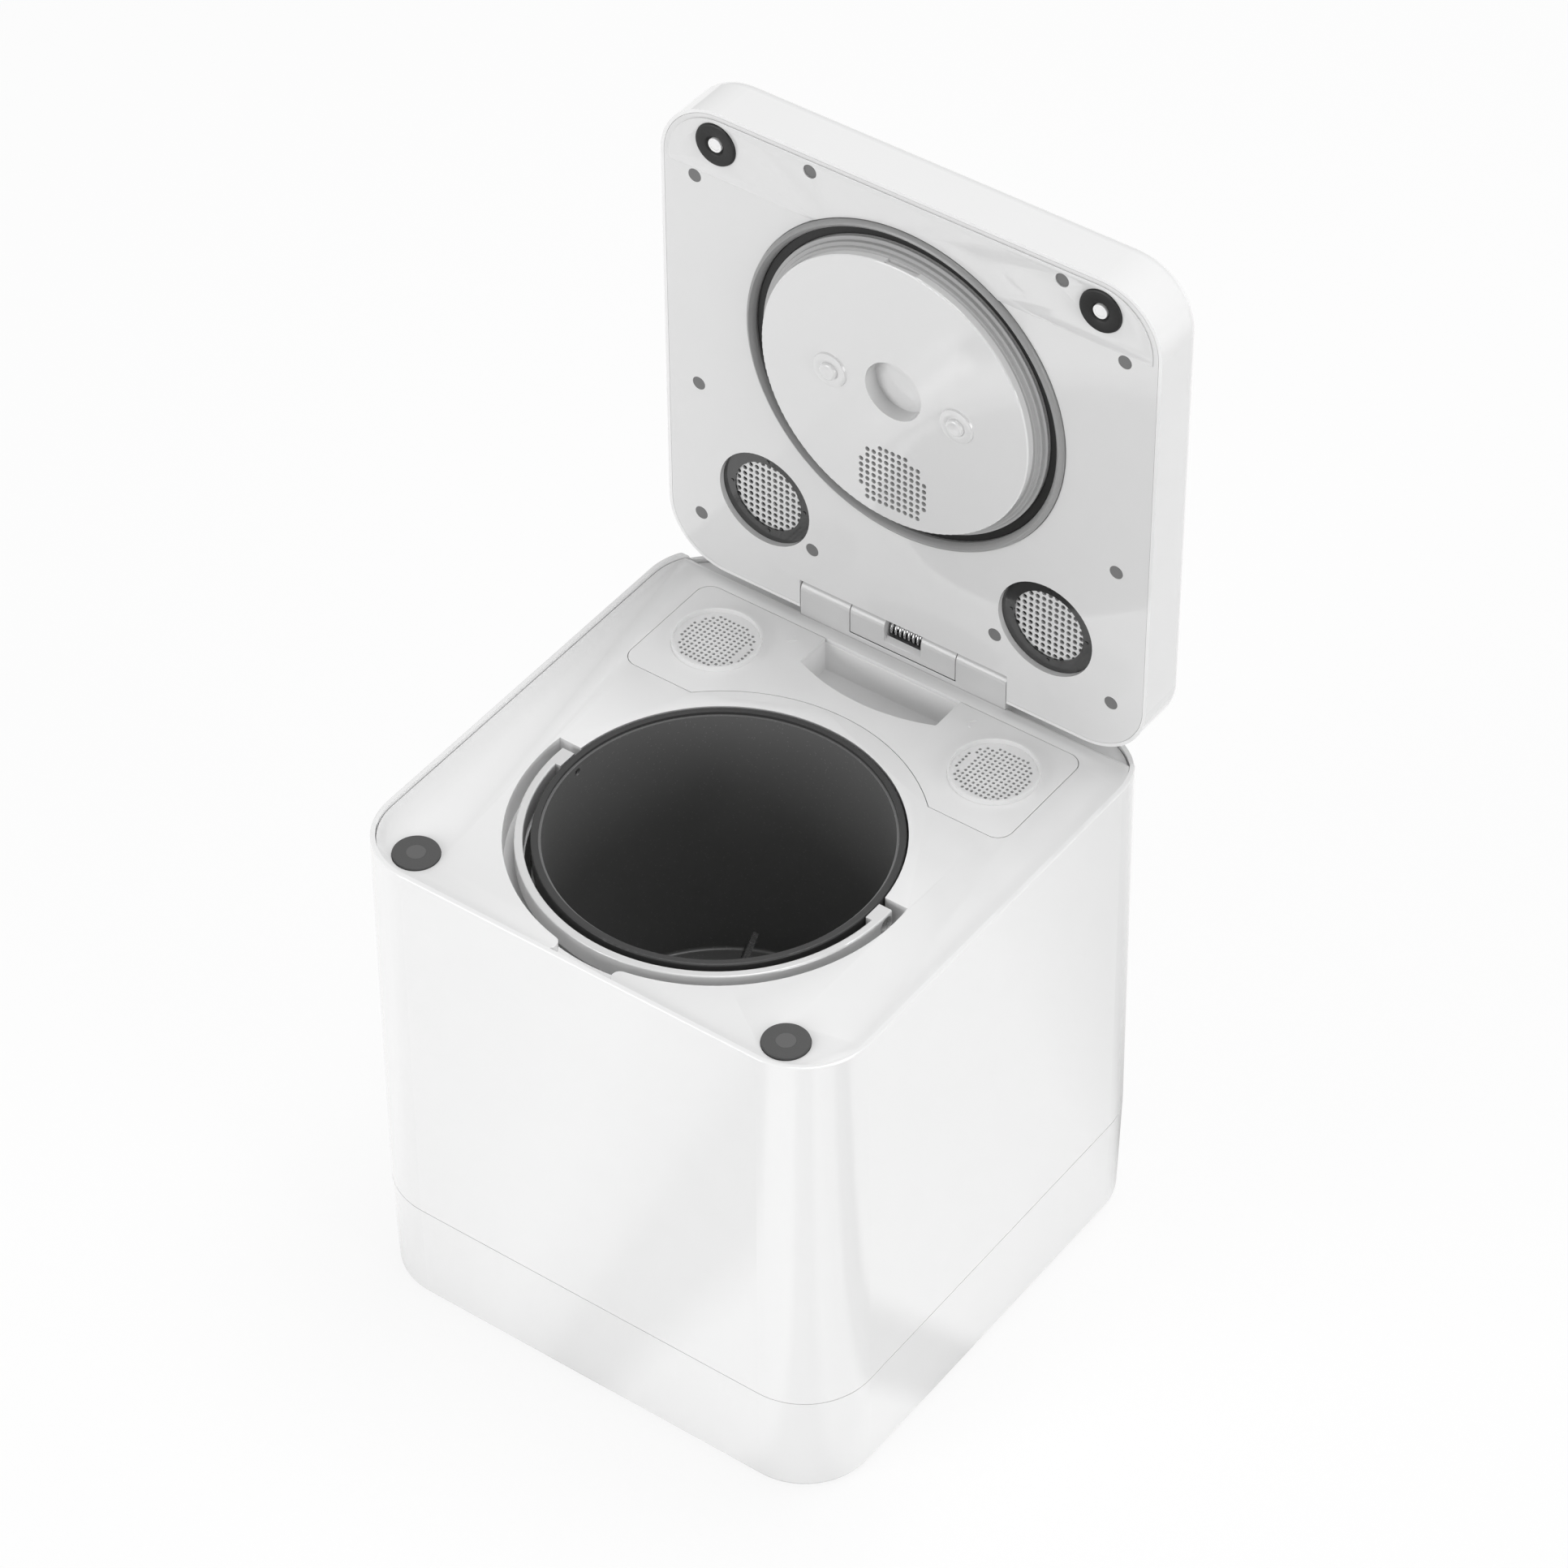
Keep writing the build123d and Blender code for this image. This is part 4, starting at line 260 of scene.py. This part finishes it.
class Surface(Enum):
    """Every finish on the composter."""

    SLEEVE = Finish("white_gloss", grey(0.85), 0.08, 0.015, coat=0.8, grain=0.006, relief=0.0000004,
                    mottle=0.004)
    DECK = Finish("deck_white", grey(0.82), 0.22, 0.03, coat=0.3, grain=0.0012, relief=0.000002,
                  mottle=0.006)
    # painted shade: the lid's inner parts are the same white plastic as the shell, darkened to the
    # shade they stand in
    LID = Finish("lid_white", grey(0.73), 0.07, 0.015, coat=0.8, grain=0.006, relief=0.0000004,
                 mottle=0.004)
    # painted shade: the hinge is the same white moulding as the deck, darkened to the shade at the
    # foot of the open lid
    HINGE = Finish("hinge_white_painted_shade", grey(0.60), 0.22, 0.03, coat=0.2, grain=0.0012,
                   relief=0.000002)
    CHARCOAL = Finish("charcoal", grey(0.040), 0.42, 0.05, grain=0.0005, relief=0.00001)
    PAD = Finish("pad_grey", grey(0.075), 0.6, 0.06, grain=0.0006, relief=0.00001)
    PAD_CORE = Finish("pad_core", grey(0.11), 0.5, 0.05, grain=0.0006, relief=0.000006)
    RUBBER = Finish("black_rubber", grey(0.006), 0.5, 0.06, grain=0.0009, relief=0.000006)
    STEP = Finish("step_grey", grey(0.42), 0.45, 0.03, grain=0.003, relief=0.000001)
    CORE = Finish("white_core", grey(0.85), 0.2, 0.03)
    LIP = Finish("lip_silicone", grey(0.30), 0.34, 0.05, grain=0.0015, relief=0.000008,
                 subsurface=0.4)
    SMOKED = Finish("smoked_gloss", grey(0.035), 0.08, 0.02, coat=0.6, grain=0.003,
                    relief=0.000001)
    PLUG = Finish("plug_grey", grey(0.17), 0.55, 0.06, grain=0.0005, relief=0.000008)
    BAIL = Finish("bail_silver", grey(0.74), 0.34, 0.04, metallic=0.3, grain=0.0006,
                  relief=0.0000003, brushed=(0.2, 0.2, 1.0))
    BUCKET = Finish("bucket_grey", grey(0.20), 0.36, 0.05, metallic=0.3, grain=0.0006,
                    relief=0.00001, speckle=0.10, speckle_size=0.0022)
    SHEET = Finish("holed_sheet", grey(0.72), 0.4, 0.06, metallic=0.15, grain=0.0005,
                   relief=0.000005, brushed=(0.06, 1.0, 1.0))
    WELL = Finish("well_metal", grey(0.60), 0.32, 0.08, metallic=1.0, grain=0.0006,
                  relief=0.000006, brushed=(0.2, 0.2, 1.0))
    STEEL = Finish("steel", grey(0.52), 0.26, 0.08, metallic=1.0, grain=0.0005,
                   relief=0.000005, brushed=(0.2, 1.0, 0.2))
    SPRING = Finish("spring_steel", grey(0.55), 0.2, 0.06, metallic=1.0, grain=0.0004,
                    relief=0.000003)
    ZINC = Finish("zinc_plate", grey(0.5, -0.02), 0.4, 0.1, metallic=1.0, mottle=0.12, patch=0.012)
    BLACK = Finish("black_plastic", grey(0.022), 0.42, 0.06, grain=0.0007, relief=0.00001)
    GEAR = Finish("gear_plastic", grey(0.66, 0.06), 0.42, 0.05, grain=0.0008, relief=0.000006)
    FELT = Finish("insulation_felt", grey(0.55, 0.08), 0.95, 0.04, grain=0.0009, relief=0.00025,
                  mottle=0.12, patch=0.004)
    BOARD = Finish("board_green", (0.012, 0.085, 0.03), 0.3, 0.05, coat=0.3, mottle=0.2,
                   patch=0.003)
    BRASS = Finish("brass_pin", (0.62, 0.46, 0.20), 0.25, 0.06, metallic=1.0, grain=0.0005)
    CARBON = Finish("carbon", grey(0.02), 0.7, 0.1, grain=0.0012, relief=0.00012)
    POST = Finish("post_plastic", grey(0.33), 0.45, 0.05, grain=0.0008, relief=0.000008)


class Wardrobe:
    """Builds each finish once and puts it on objects."""

    def __init__(self) -> None:
        """Starts with nothing built."""
        self.built: dict[str, bpy.types.Material] = {}

    def material(self, surface: Surface) -> bpy.types.Material:
        """The material of a finish, made when first asked for."""
        finish: Finish = surface.value
        if finish.name not in self.built:
            self.built[finish.name] = finish.build()
        return self.built[finish.name]

    def dress(self, piece: bpy.types.Object, surface: Surface) -> None:
        """Puts a finish into every slot of a piece.

        Args:
            piece: the mesh object.
            surface: which finish it gets.
        """
        material = self.material(surface)
        if not piece.material_slots:
            piece.data.materials.append(material)
        for slot in piece.material_slots:
            slot.material = material


NODE_FINISHES: dict[Surface, str] = {
    Surface.SLEEVE: "outer_shell base_tray rear_vent lid_shell",
    Surface.DECK: "deck_panel filter_cover filter_box",
    Surface.LID: "lid_inner_panel lid_front_band inner_disc disc_knobs start_button",
    Surface.HINGE: "hinge_bracket hinge_knuckle",
    Surface.CHARCOAL: "bucket_rim stirrer_bush",
    Surface.PAD: "strike_pads",
    Surface.PAD_CORE: "strike_cores",
    Surface.RUBBER: "rubber_feet lid_bumpers lid_seal",
    Surface.CORE: "bumper_cores",
    Surface.LIP: "seal_lip",
    Surface.SMOKED: "port_rings",
    Surface.PLUG: "screw_plugs",
    Surface.BAIL: "bail_handle",
    Surface.BUCKET: "bucket",
    Surface.SHEET: "port_grilles",
    Surface.WELL: "heating_well heater_plate",
    Surface.STEEL: "case_screws fan_motor thermal_sensor shaft_bearing drive_motor bail_pins "
                   "stirrer stirrer_coupling output_shaft motor_pinion",
    Surface.SPRING: "hinge_pin hinge_spring",
    Surface.ZINC: "chassis_plate",
    Surface.BLACK: "air_duct fan_housing well_collar gearbox_housing gearbox_cover board_parts "
                   "power_inlet button_housing fan_rotor",
    Surface.GEAR: "output_gear idler_gear",
    Surface.FELT: "well_insulation",
    Surface.BOARD: "control_board",
    Surface.BRASS: "inlet_pins",
    Surface.CARBON: "carbon_filters",
    Surface.POST: "chassis_posts lid_air_duct",
}


# ------------------------------------------------------------------ modelling by hand
class Bench:
    """Edit-mode work on one piece at a time."""

    @staticmethod
    def clear() -> None:
        """Leaves nothing selected."""
        if bpy.context.object and bpy.context.object.mode != "OBJECT":
            bpy.ops.object.mode_set(mode="OBJECT")
        bpy.ops.object.select_all(action="DESELECT")

    @staticmethod
    def take(piece: bpy.types.Object) -> None:
        """Selects one piece and makes it active."""
        Bench.clear()
        piece.select_set(True)
        bpy.context.view_layer.objects.active = piece

    @staticmethod
    def modifier(piece: bpy.types.Object, kind: str, **values: object) -> None:
        """Adds a modifier and applies it.

        Args:
            piece: the mesh object.
            kind: the modifier's type.
            values: its settings.
        """
        Bench.take(piece)
        step = piece.modifiers.new(kind.lower(), kind)
        for name, value in values.items():
            setattr(step, name, value)
        bpy.ops.object.modifier_apply(modifier=step.name)

    @staticmethod
    def settle(piece: bpy.types.Object, name: str,
               smooth: float = SMOOTH_ANGLE) -> bpy.types.Object:
        """Names a piece, puts its place into its mesh and smooths its round stretches.

        Args:
            piece: the mesh object.
            name: its name in the scene.
            smooth: angle in degrees under which edges are smoothed.

        Returns:
            The same piece.
        """
        Bench.take(piece)
        piece.name = name
        piece.data.name = name
        bpy.ops.object.transform_apply(location=True, rotation=True, scale=True)
        bpy.ops.object.shade_smooth_by_angle(angle=math.radians(smooth))
        Bench.clear()
        return piece

    @staticmethod
    def softened(node: str, width: float) -> bpy.types.Object:
        """A copy of a moulded node with its crisp edges rounded as a mould rounds them.

        Args:
            node: the node that is copied and replaced.
            width: how far the rounding reaches from each edge.

        Returns:
            The new piece, not yet dressed.
        """
        source = bpy.data.objects[node]
        Bench.take(source)
        bpy.ops.object.duplicate()
        copy = bpy.context.object
        bpy.ops.object.mode_set(mode="EDIT")
        bpy.ops.mesh.select_all(action="SELECT")
        bpy.ops.mesh.remove_doubles(threshold=COPY_WELD)
        bpy.ops.mesh.dissolve_limited(angle_limit=math.radians(FLAT_ANGLE))
        bpy.ops.object.mode_set(mode="OBJECT")
        Bench.modifier(copy, "BEVEL", width=width, segments=ROUNDING_STEPS, limit_method="ANGLE",
                       angle_limit=math.radians(SHARP_ANGLE), use_clamp_overlap=True,
                       miter_outer="MITER_ARC")
        Bench.modifier(copy, "WEIGHTED_NORMAL", keep_sharp=True)
        return copy

    @staticmethod
    def turned(name: str, centre: Point, profile: Iterable[tuple[float, float]],
               steps: int = LATHE_FACES, smooth: float = SMOOTH_ANGLE) -> bpy.types.Object:
        """A ring or button turned about the Y axis, as on a lathe.

        Args:
            name: its name in the scene.
            centre: middle of its reference plane.
            profile: radius and depth behind that plane, from one point of the outline round to
                the last. A last radius of nought closes the top, and otherwise the outline closes
                on itself.
            steps: faces round it.
            smooth: angle in degrees under which edges are smoothed.

        Returns:
            The piece, not yet dressed.
        """
        points = list(profile)
        closed = points[-1][0] > 0
        if closed:
            points.append(points[0])
        radius, depth = points[0]
        Bench.clear()
        place = (centre[0], centre[1] + depth, centre[2])
        bpy.ops.mesh.primitive_circle_add(vertices=steps, radius=radius, location=place,
                                          rotation=(math.pi / 2, 0, 0))
        piece = bpy.context.object
        bpy.ops.object.mode_set(mode="EDIT")
        bpy.ops.mesh.select_all(action="SELECT")
        for new_radius, new_depth in points[1:]:
            step = (0, new_depth - depth, 0)
            bpy.ops.mesh.extrude_edges_move(TRANSFORM_OT_translate={"value": step})
            share = max(new_radius, LEAST_RADIUS) / radius
            middle = (centre[0], centre[1] + new_depth, centre[2])
            bpy.ops.transform.resize(value=(share, 1, share), center_override=middle)
            radius, depth = max(new_radius, LEAST_RADIUS), new_depth
        bpy.ops.mesh.select_all(action="SELECT")
        bpy.ops.mesh.remove_doubles(threshold=LATHE_WELD)
        bpy.ops.mesh.normals_make_consistent(inside=False)
        bpy.ops.object.mode_set(mode="OBJECT")
        return Bench.settle(piece, name, smooth)

    @staticmethod
    def copied(piece: bpy.types.Object, name: str, move: Point) -> bpy.types.Object:
        """A copy of a finished piece with its own mesh, put elsewhere.

        Args:
            piece: the finished piece.
            name: the copy's name.
            move: how far it moves.

        Returns:
            The copy.
        """
        Bench.take(piece)
        bpy.ops.object.duplicate()
        copy = bpy.context.object
        bpy.ops.transform.translate(value=move)
        return Bench.settle(copy, name)


# Outlines of the turned parts: radius and depth behind the lid panel's plane, in millimetres.
BUMPER_RING: Profile = (
    (11.3, 1.4), (11.3, -1.3), (11.15, -1.65), (10.8, -1.85), (10.3, -1.9), (5.7, -1.9),
    (5.3, -1.75), (4.4, -0.7), (4.0, -0.6), (4.0, 1.4))
BUMPER_CORE: Profile = (
    (3.8, 1.4), (3.8, -1.5), (3.7, -1.75), (3.45, -1.88), (2.9, -1.88), (2.65, -1.75),
    (2.5, -1.45), (0, -1.4))
DISC_KNOB: Profile = (
    (4.75, -10.0), (4.75, -11.2), (4.6, -11.75), (4.2, -12.2), (3.7, -12.38), (3.2, -12.36),
    (2.4, -12.15), (1.2, -12.02), (0, -12.0))
KNOB_BOSS: Profile = (
    (9.6, -9.3), (9.45, -9.55), (9.3, -10.0), (9.1, -10.35), (8.75, -10.5), (5.6, -10.5),
    (5.2, -10.42), (4.9, -10.1), (4.9, -9.3))
PLUG_STEPS: Profile = (
    (81.2, 0.3), (81.2, -0.5), (81.0, -0.8), (79.6, -0.9), (79.3, -1.1), (79.2, -2.6),
    (79.0, -2.9), (77.8, -3.0), (77.5, -3.2), (77.4, -4.7), (77.2, -5.0), (76.3, -5.1),
    (76.05, -5.3), (76.05, 0.3))


@dataclass
class LidDetails:
    """Turned parts on the lid's inner side: bumpers, knobs and the steps round the plug."""

    wardrobe: Wardrobe
    plane: float = 115.75 * MM
    axis_z: float = 457.9 * MM
    bumper_x: float = 107.2 * MM
    bumper_z: float = 552.0 * MM
    knob_x: float = 36.05 * MM
    knob_z: float = 457.4 * MM

    def build(self) -> None:
        """Makes, dresses and places every part."""
        self.bumpers()
        self.knobs()
        self.plug_steps()

    def finish(self, piece: bpy.types.Object, surface: Surface, slot: str, *nodes: str) -> None:
        """Dresses a part and lets it ride with the lid.

        Args:
            piece: the part.
            surface: its finish.
            slot: the record's slot; not used.
            nodes: the CAD nodes that it stands for.
        """
        self.wardrobe.dress(piece, surface)
        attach(piece, "lid")
        if nodes:
            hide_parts(*nodes)
        LOG.info("%s: %d faces", piece.name, len(piece.data.polygons))

    def bumpers(self) -> None:
        """Two black bumper rings, countersunk round a proud white core."""
        spot = (-self.bumper_x, self.plane, self.bumper_z)
        black = Bench.turned("bumper_ring_left", spot, scaled(BUMPER_RING))
        white = Bench.turned("bumper_core_left", spot, scaled(BUMPER_CORE), SMALL_FACES)
        step = (2 * self.bumper_x, 0, 0)
        for piece in (black, Bench.copied(black, "bumper_ring_right", step)):
            self.finish(piece, Surface.RUBBER, "black_rubber", "lid_bumpers")
        for piece in (white, Bench.copied(white, "bumper_core_right", step)):
            self.finish(piece, Surface.CORE, "white_core", "bumper_cores")

    def knobs(self) -> None:
        """Two domed screws with a shallow dish, each on a rounded boss."""
        spot = (-self.knob_x, self.plane, self.knob_z)
        step = (2 * self.knob_x, 0, 0)
        dome = Bench.turned("disc_knob_left", spot, scaled(DISC_KNOB), SMALL_FACES)
        rim = Bench.turned("knob_boss_left", spot, scaled(KNOB_BOSS), BOSS_FACES)
        for piece in (dome, Bench.copied(dome, "disc_knob_right", step)):
            self.finish(piece, Surface.LID, "lid_white", "disc_knobs")
        for piece in (rim, Bench.copied(rim, "knob_boss_right", step)):
            self.finish(piece, Surface.LID, "lid_white")

    def plug_steps(self) -> None:
        """Three soft steps between the plug's wall and the black gasket."""
        spot = (0, self.plane, self.axis_z)
        ring = Bench.turned("plug_steps", spot, scaled(PLUG_STEPS), STEPS_FACES, STEPS_ANGLE)
        self.finish(ring, Surface.STEP, "lip_silicone")


def scaled(profile: Iterable[tuple[float, float]]) -> list[tuple[float, float]]:
    """A profile in millimetres, in metres."""
    return [(radius * MM, depth * MM) for radius, depth in profile]


@dataclass
class SoftMouldings:
    """Moulded pieces whose crisp edges are rounded, each standing for its node."""

    wardrobe: Wardrobe
    widths: dict[str, float] = field(default_factory=lambda: {
        "hinge_bracket": 0.2 * MM,
        "hinge_knuckle": 0.2 * MM,
        "lid_front_band": 0.25 * MM,
        "deck_panel": 0.35 * MM,
        "filter_box": 0.4 * MM,
    })

    def build(self, frame: dict) -> None:
        """Makes each rounded copy, dresses it and lets it ride with its node's body.
        """
        record = frame["record"]
        surfaces = {name: surface for surface, names in NODE_FINISHES.items()
                    for name in names.split()}
        bodies = {name: body for body, names in record["behaviour"]["bodies"].items()
                  for name in names}
        for node, width in self.widths.items():
            piece = Bench.settle(Bench.softened(node, width), f"{node}_moulding")
            self.wardrobe.dress(piece, surfaces[node])
            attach(piece, bodies[node])
            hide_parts(node)
            LOG.info("%s: %d faces", piece.name, len(piece.data.polygons))


# ------------------------------------------------------------------ room, light and camera
@dataclass(frozen=True)
class Softbox:
    """A square soft lamp: where it stands, the point it faces, its side and its power in watts."""

    name: str
    place: Point
    aim: Point
    size: float
    watts: float

    def hang(self) -> None:
        """Puts the lamp into the scene."""
        data = bpy.data.lights.new(self.name, "AREA")
        data.size = self.size
        data.energy = self.watts
        lamp = bpy.data.objects.new(self.name, data)
        lamp.location = self.place
        towards = Vector(self.aim) - Vector(self.place)
        lamp.rotation_euler = towards.to_track_quat("-Z", "Y").to_euler()
        bpy.context.scene.collection.objects.link(lamp)


SOFTBOXES = (
    Softbox("front_softbox", (-1.5, -3.4, 1.1), (0.0, 0.0, 0.15), 1.8, 56.0),
    Softbox("right_softbox", (3.3, -0.3, 0.9), (0.0, 0.0, 0.15), 1.6, 33.0),
    Softbox("top_softbox", (0.3, 0.7, 3.4), (0.0, 0.0, 0.2), 1.6, 46.0),
)

# White panels on the floor as gloss sees them: share of a turn round the object, and grey level.
GLOSS_BANDS = (
    (0.0, 0.95), (0.10, 0.95), (0.14, 0.75), (0.19, 0.95), (0.215, 0.7), (0.225, 0.4),
    (0.25, 0.4), (0.27, 0.95), (0.33, 1.0), (0.345, 0.45), (0.375, 0.5), (0.39, 1.0),
    (0.43, 1.0), (0.445, 0.5), (0.475, 0.45), (0.49, 0.95), (0.60, 0.9), (0.64, 0.45),
    (0.68, 0.7), (0.72, 0.95))


@dataclass
class Studio:
    """White sweep, soft light and the camera."""

    floor_half: float = 6.0
    camera_place: Point = (1.22696, -1.65454, 2.19473)
    camera_turn: tuple[float, float, float] = (47.2729, 0.3736, 35.9210)
    lens: float = 135.79
    far: float = 20.0
    ambient: float = 0.50

    def build(self) -> None:
        """Makes the floor, the world, the lamps and the camera."""
        self.floor()
        self.world()
        for softbox in SOFTBOXES:
            softbox.hang()
        self.camera()

    def floor(self) -> None:
        """A pale floor that reads white to the camera and keeps the shadow."""
        Bench.clear()
        bpy.ops.mesh.primitive_plane_add(size=2 * self.floor_half, location=(0, 0, 0))
        floor = bpy.context.object
        floor.name = "studio_floor"
        material = bpy.data.materials.new("studio_white")
        material.use_nodes = True
        nodes, links = material.node_tree.nodes, material.node_tree.links
        shader = nodes["Principled BSDF"]
        shader.inputs["Base Color"].default_value = FLOOR_COLOUR
        shader.inputs["Roughness"].default_value = FLOOR_ROUGHNESS
        white = nodes.new("ShaderNodeEmission")
        white.inputs["Strength"].default_value = 1.0
        path = nodes.new("ShaderNodeLightPath")
        mix = nodes.new("ShaderNodeMixShader")
        share = nodes.new("ShaderNodeMath")
        share.operation = "MULTIPLY"
        share.inputs[1].default_value = FLOOR_WHITE_SHARE
        links.new(path.outputs["Is Camera Ray"], share.inputs[0])
        links.new(share.outputs[0], mix.inputs["Fac"])
        links.new(self.panels(material.node_tree, path, shader), mix.inputs[1])
        links.new(white.outputs[0], mix.inputs[2])
        links.new(mix.outputs[0], nodes["Material Output"].inputs["Surface"])
        floor.data.materials.append(material)

    @staticmethod
    def panels(tree: bpy.types.NodeTree, path: bpy.types.Node,
               shader: bpy.types.Node) -> bpy.types.NodeSocket:
        """What gloss sees in the floor: white panels laid round the object, with grey gaps between.

        Args:
            tree: the floor's nodes.
            path: its light path node.
            shader: the floor as diffuse light sees it.

        Returns:
            The floor's shader for all but camera rays.
        """
        place = tree.nodes.new("ShaderNodeTexCoord")
        round_it = tree.nodes.new("ShaderNodeTexGradient")
        round_it.gradient_type = "RADIAL"
        tree.links.new(place.outputs["Object"], round_it.inputs["Vector"])
        ramp = tree.nodes.new("ShaderNodeValToRGB")
        tree.links.new(round_it.outputs["Fac"], ramp.inputs["Fac"])
        bands = ramp.color_ramp
        for number, (at, level) in enumerate(GLOSS_BANDS):
            stop = bands.elements[number] if number < 2 else bands.elements.new(at)
            stop.position = at
            stop.color = (level, level, level, 1)
        glow = tree.nodes.new("ShaderNodeEmission")
        tree.links.new(ramp.outputs["Color"], glow.inputs["Color"])
        mix = tree.nodes.new("ShaderNodeMixShader")
        tree.links.new(path.outputs["Is Glossy Ray"], mix.inputs["Fac"])
        tree.links.new(shader.outputs[0], mix.inputs[1])
        tree.links.new(glow.outputs[0], mix.inputs[2])
        return mix.outputs[0]

    def world(self) -> None:
        """Even pale surroundings: white to the camera, softer as light."""
        world = bpy.data.worlds.new("studio_world")
        bpy.context.scene.world = world
        world.use_nodes = True
        nodes, links = world.node_tree.nodes, world.node_tree.links
        ambient = nodes["Background"]
        ambient.inputs["Color"].default_value = WHITE
        ambient.inputs["Strength"].default_value = self.ambient
        backdrop = nodes.new("ShaderNodeBackground")
        backdrop.inputs["Color"].default_value = WHITE
        backdrop.inputs["Strength"].default_value = 1.0
        path = nodes.new("ShaderNodeLightPath")
        mix = nodes.new("ShaderNodeMixShader")
        links.new(path.outputs["Is Camera Ray"], mix.inputs["Fac"])
        links.new(ambient.outputs[0], mix.inputs[1])
        links.new(backdrop.outputs[0], mix.inputs[2])
        links.new(mix.outputs[0], nodes["World Output"].inputs["Surface"])

    def camera(self) -> None:
        """The camera at the photograph's angle."""
        data = bpy.data.cameras.new("view")
        data.lens = self.lens
        data.sensor_width = SENSOR_WIDTH
        data.clip_end = self.far
        camera = bpy.data.objects.new("view", data)
        camera.location = self.camera_place
        camera.rotation_euler = tuple(math.radians(turn) for turn in self.camera_turn)
        bpy.context.scene.collection.objects.link(camera)
        bpy.context.scene.camera = camera


def dress_nodes(wardrobe: Wardrobe, frame: dict) -> None:
    """Gives every node of the frame its finish.

    Args:
        wardrobe: where the materials come from.
    """
    for surface, names in NODE_FINISHES.items():
        for name in names.split():
            wardrobe.dress(frame["nodes"][name], surface)
            LOG.info("%s wears %s", name, surface.value.name)


def main() -> None:
    """Builds the scene in order."""
    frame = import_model()
    bpy.context.scene.view_settings.view_transform = "Standard"
    wardrobe = Wardrobe()
    dress_nodes(wardrobe, frame)
    SoftMouldings(wardrobe).build(frame)
    LidDetails(wardrobe).build()
    Studio().build()


if __name__ == "__main__":
    main()
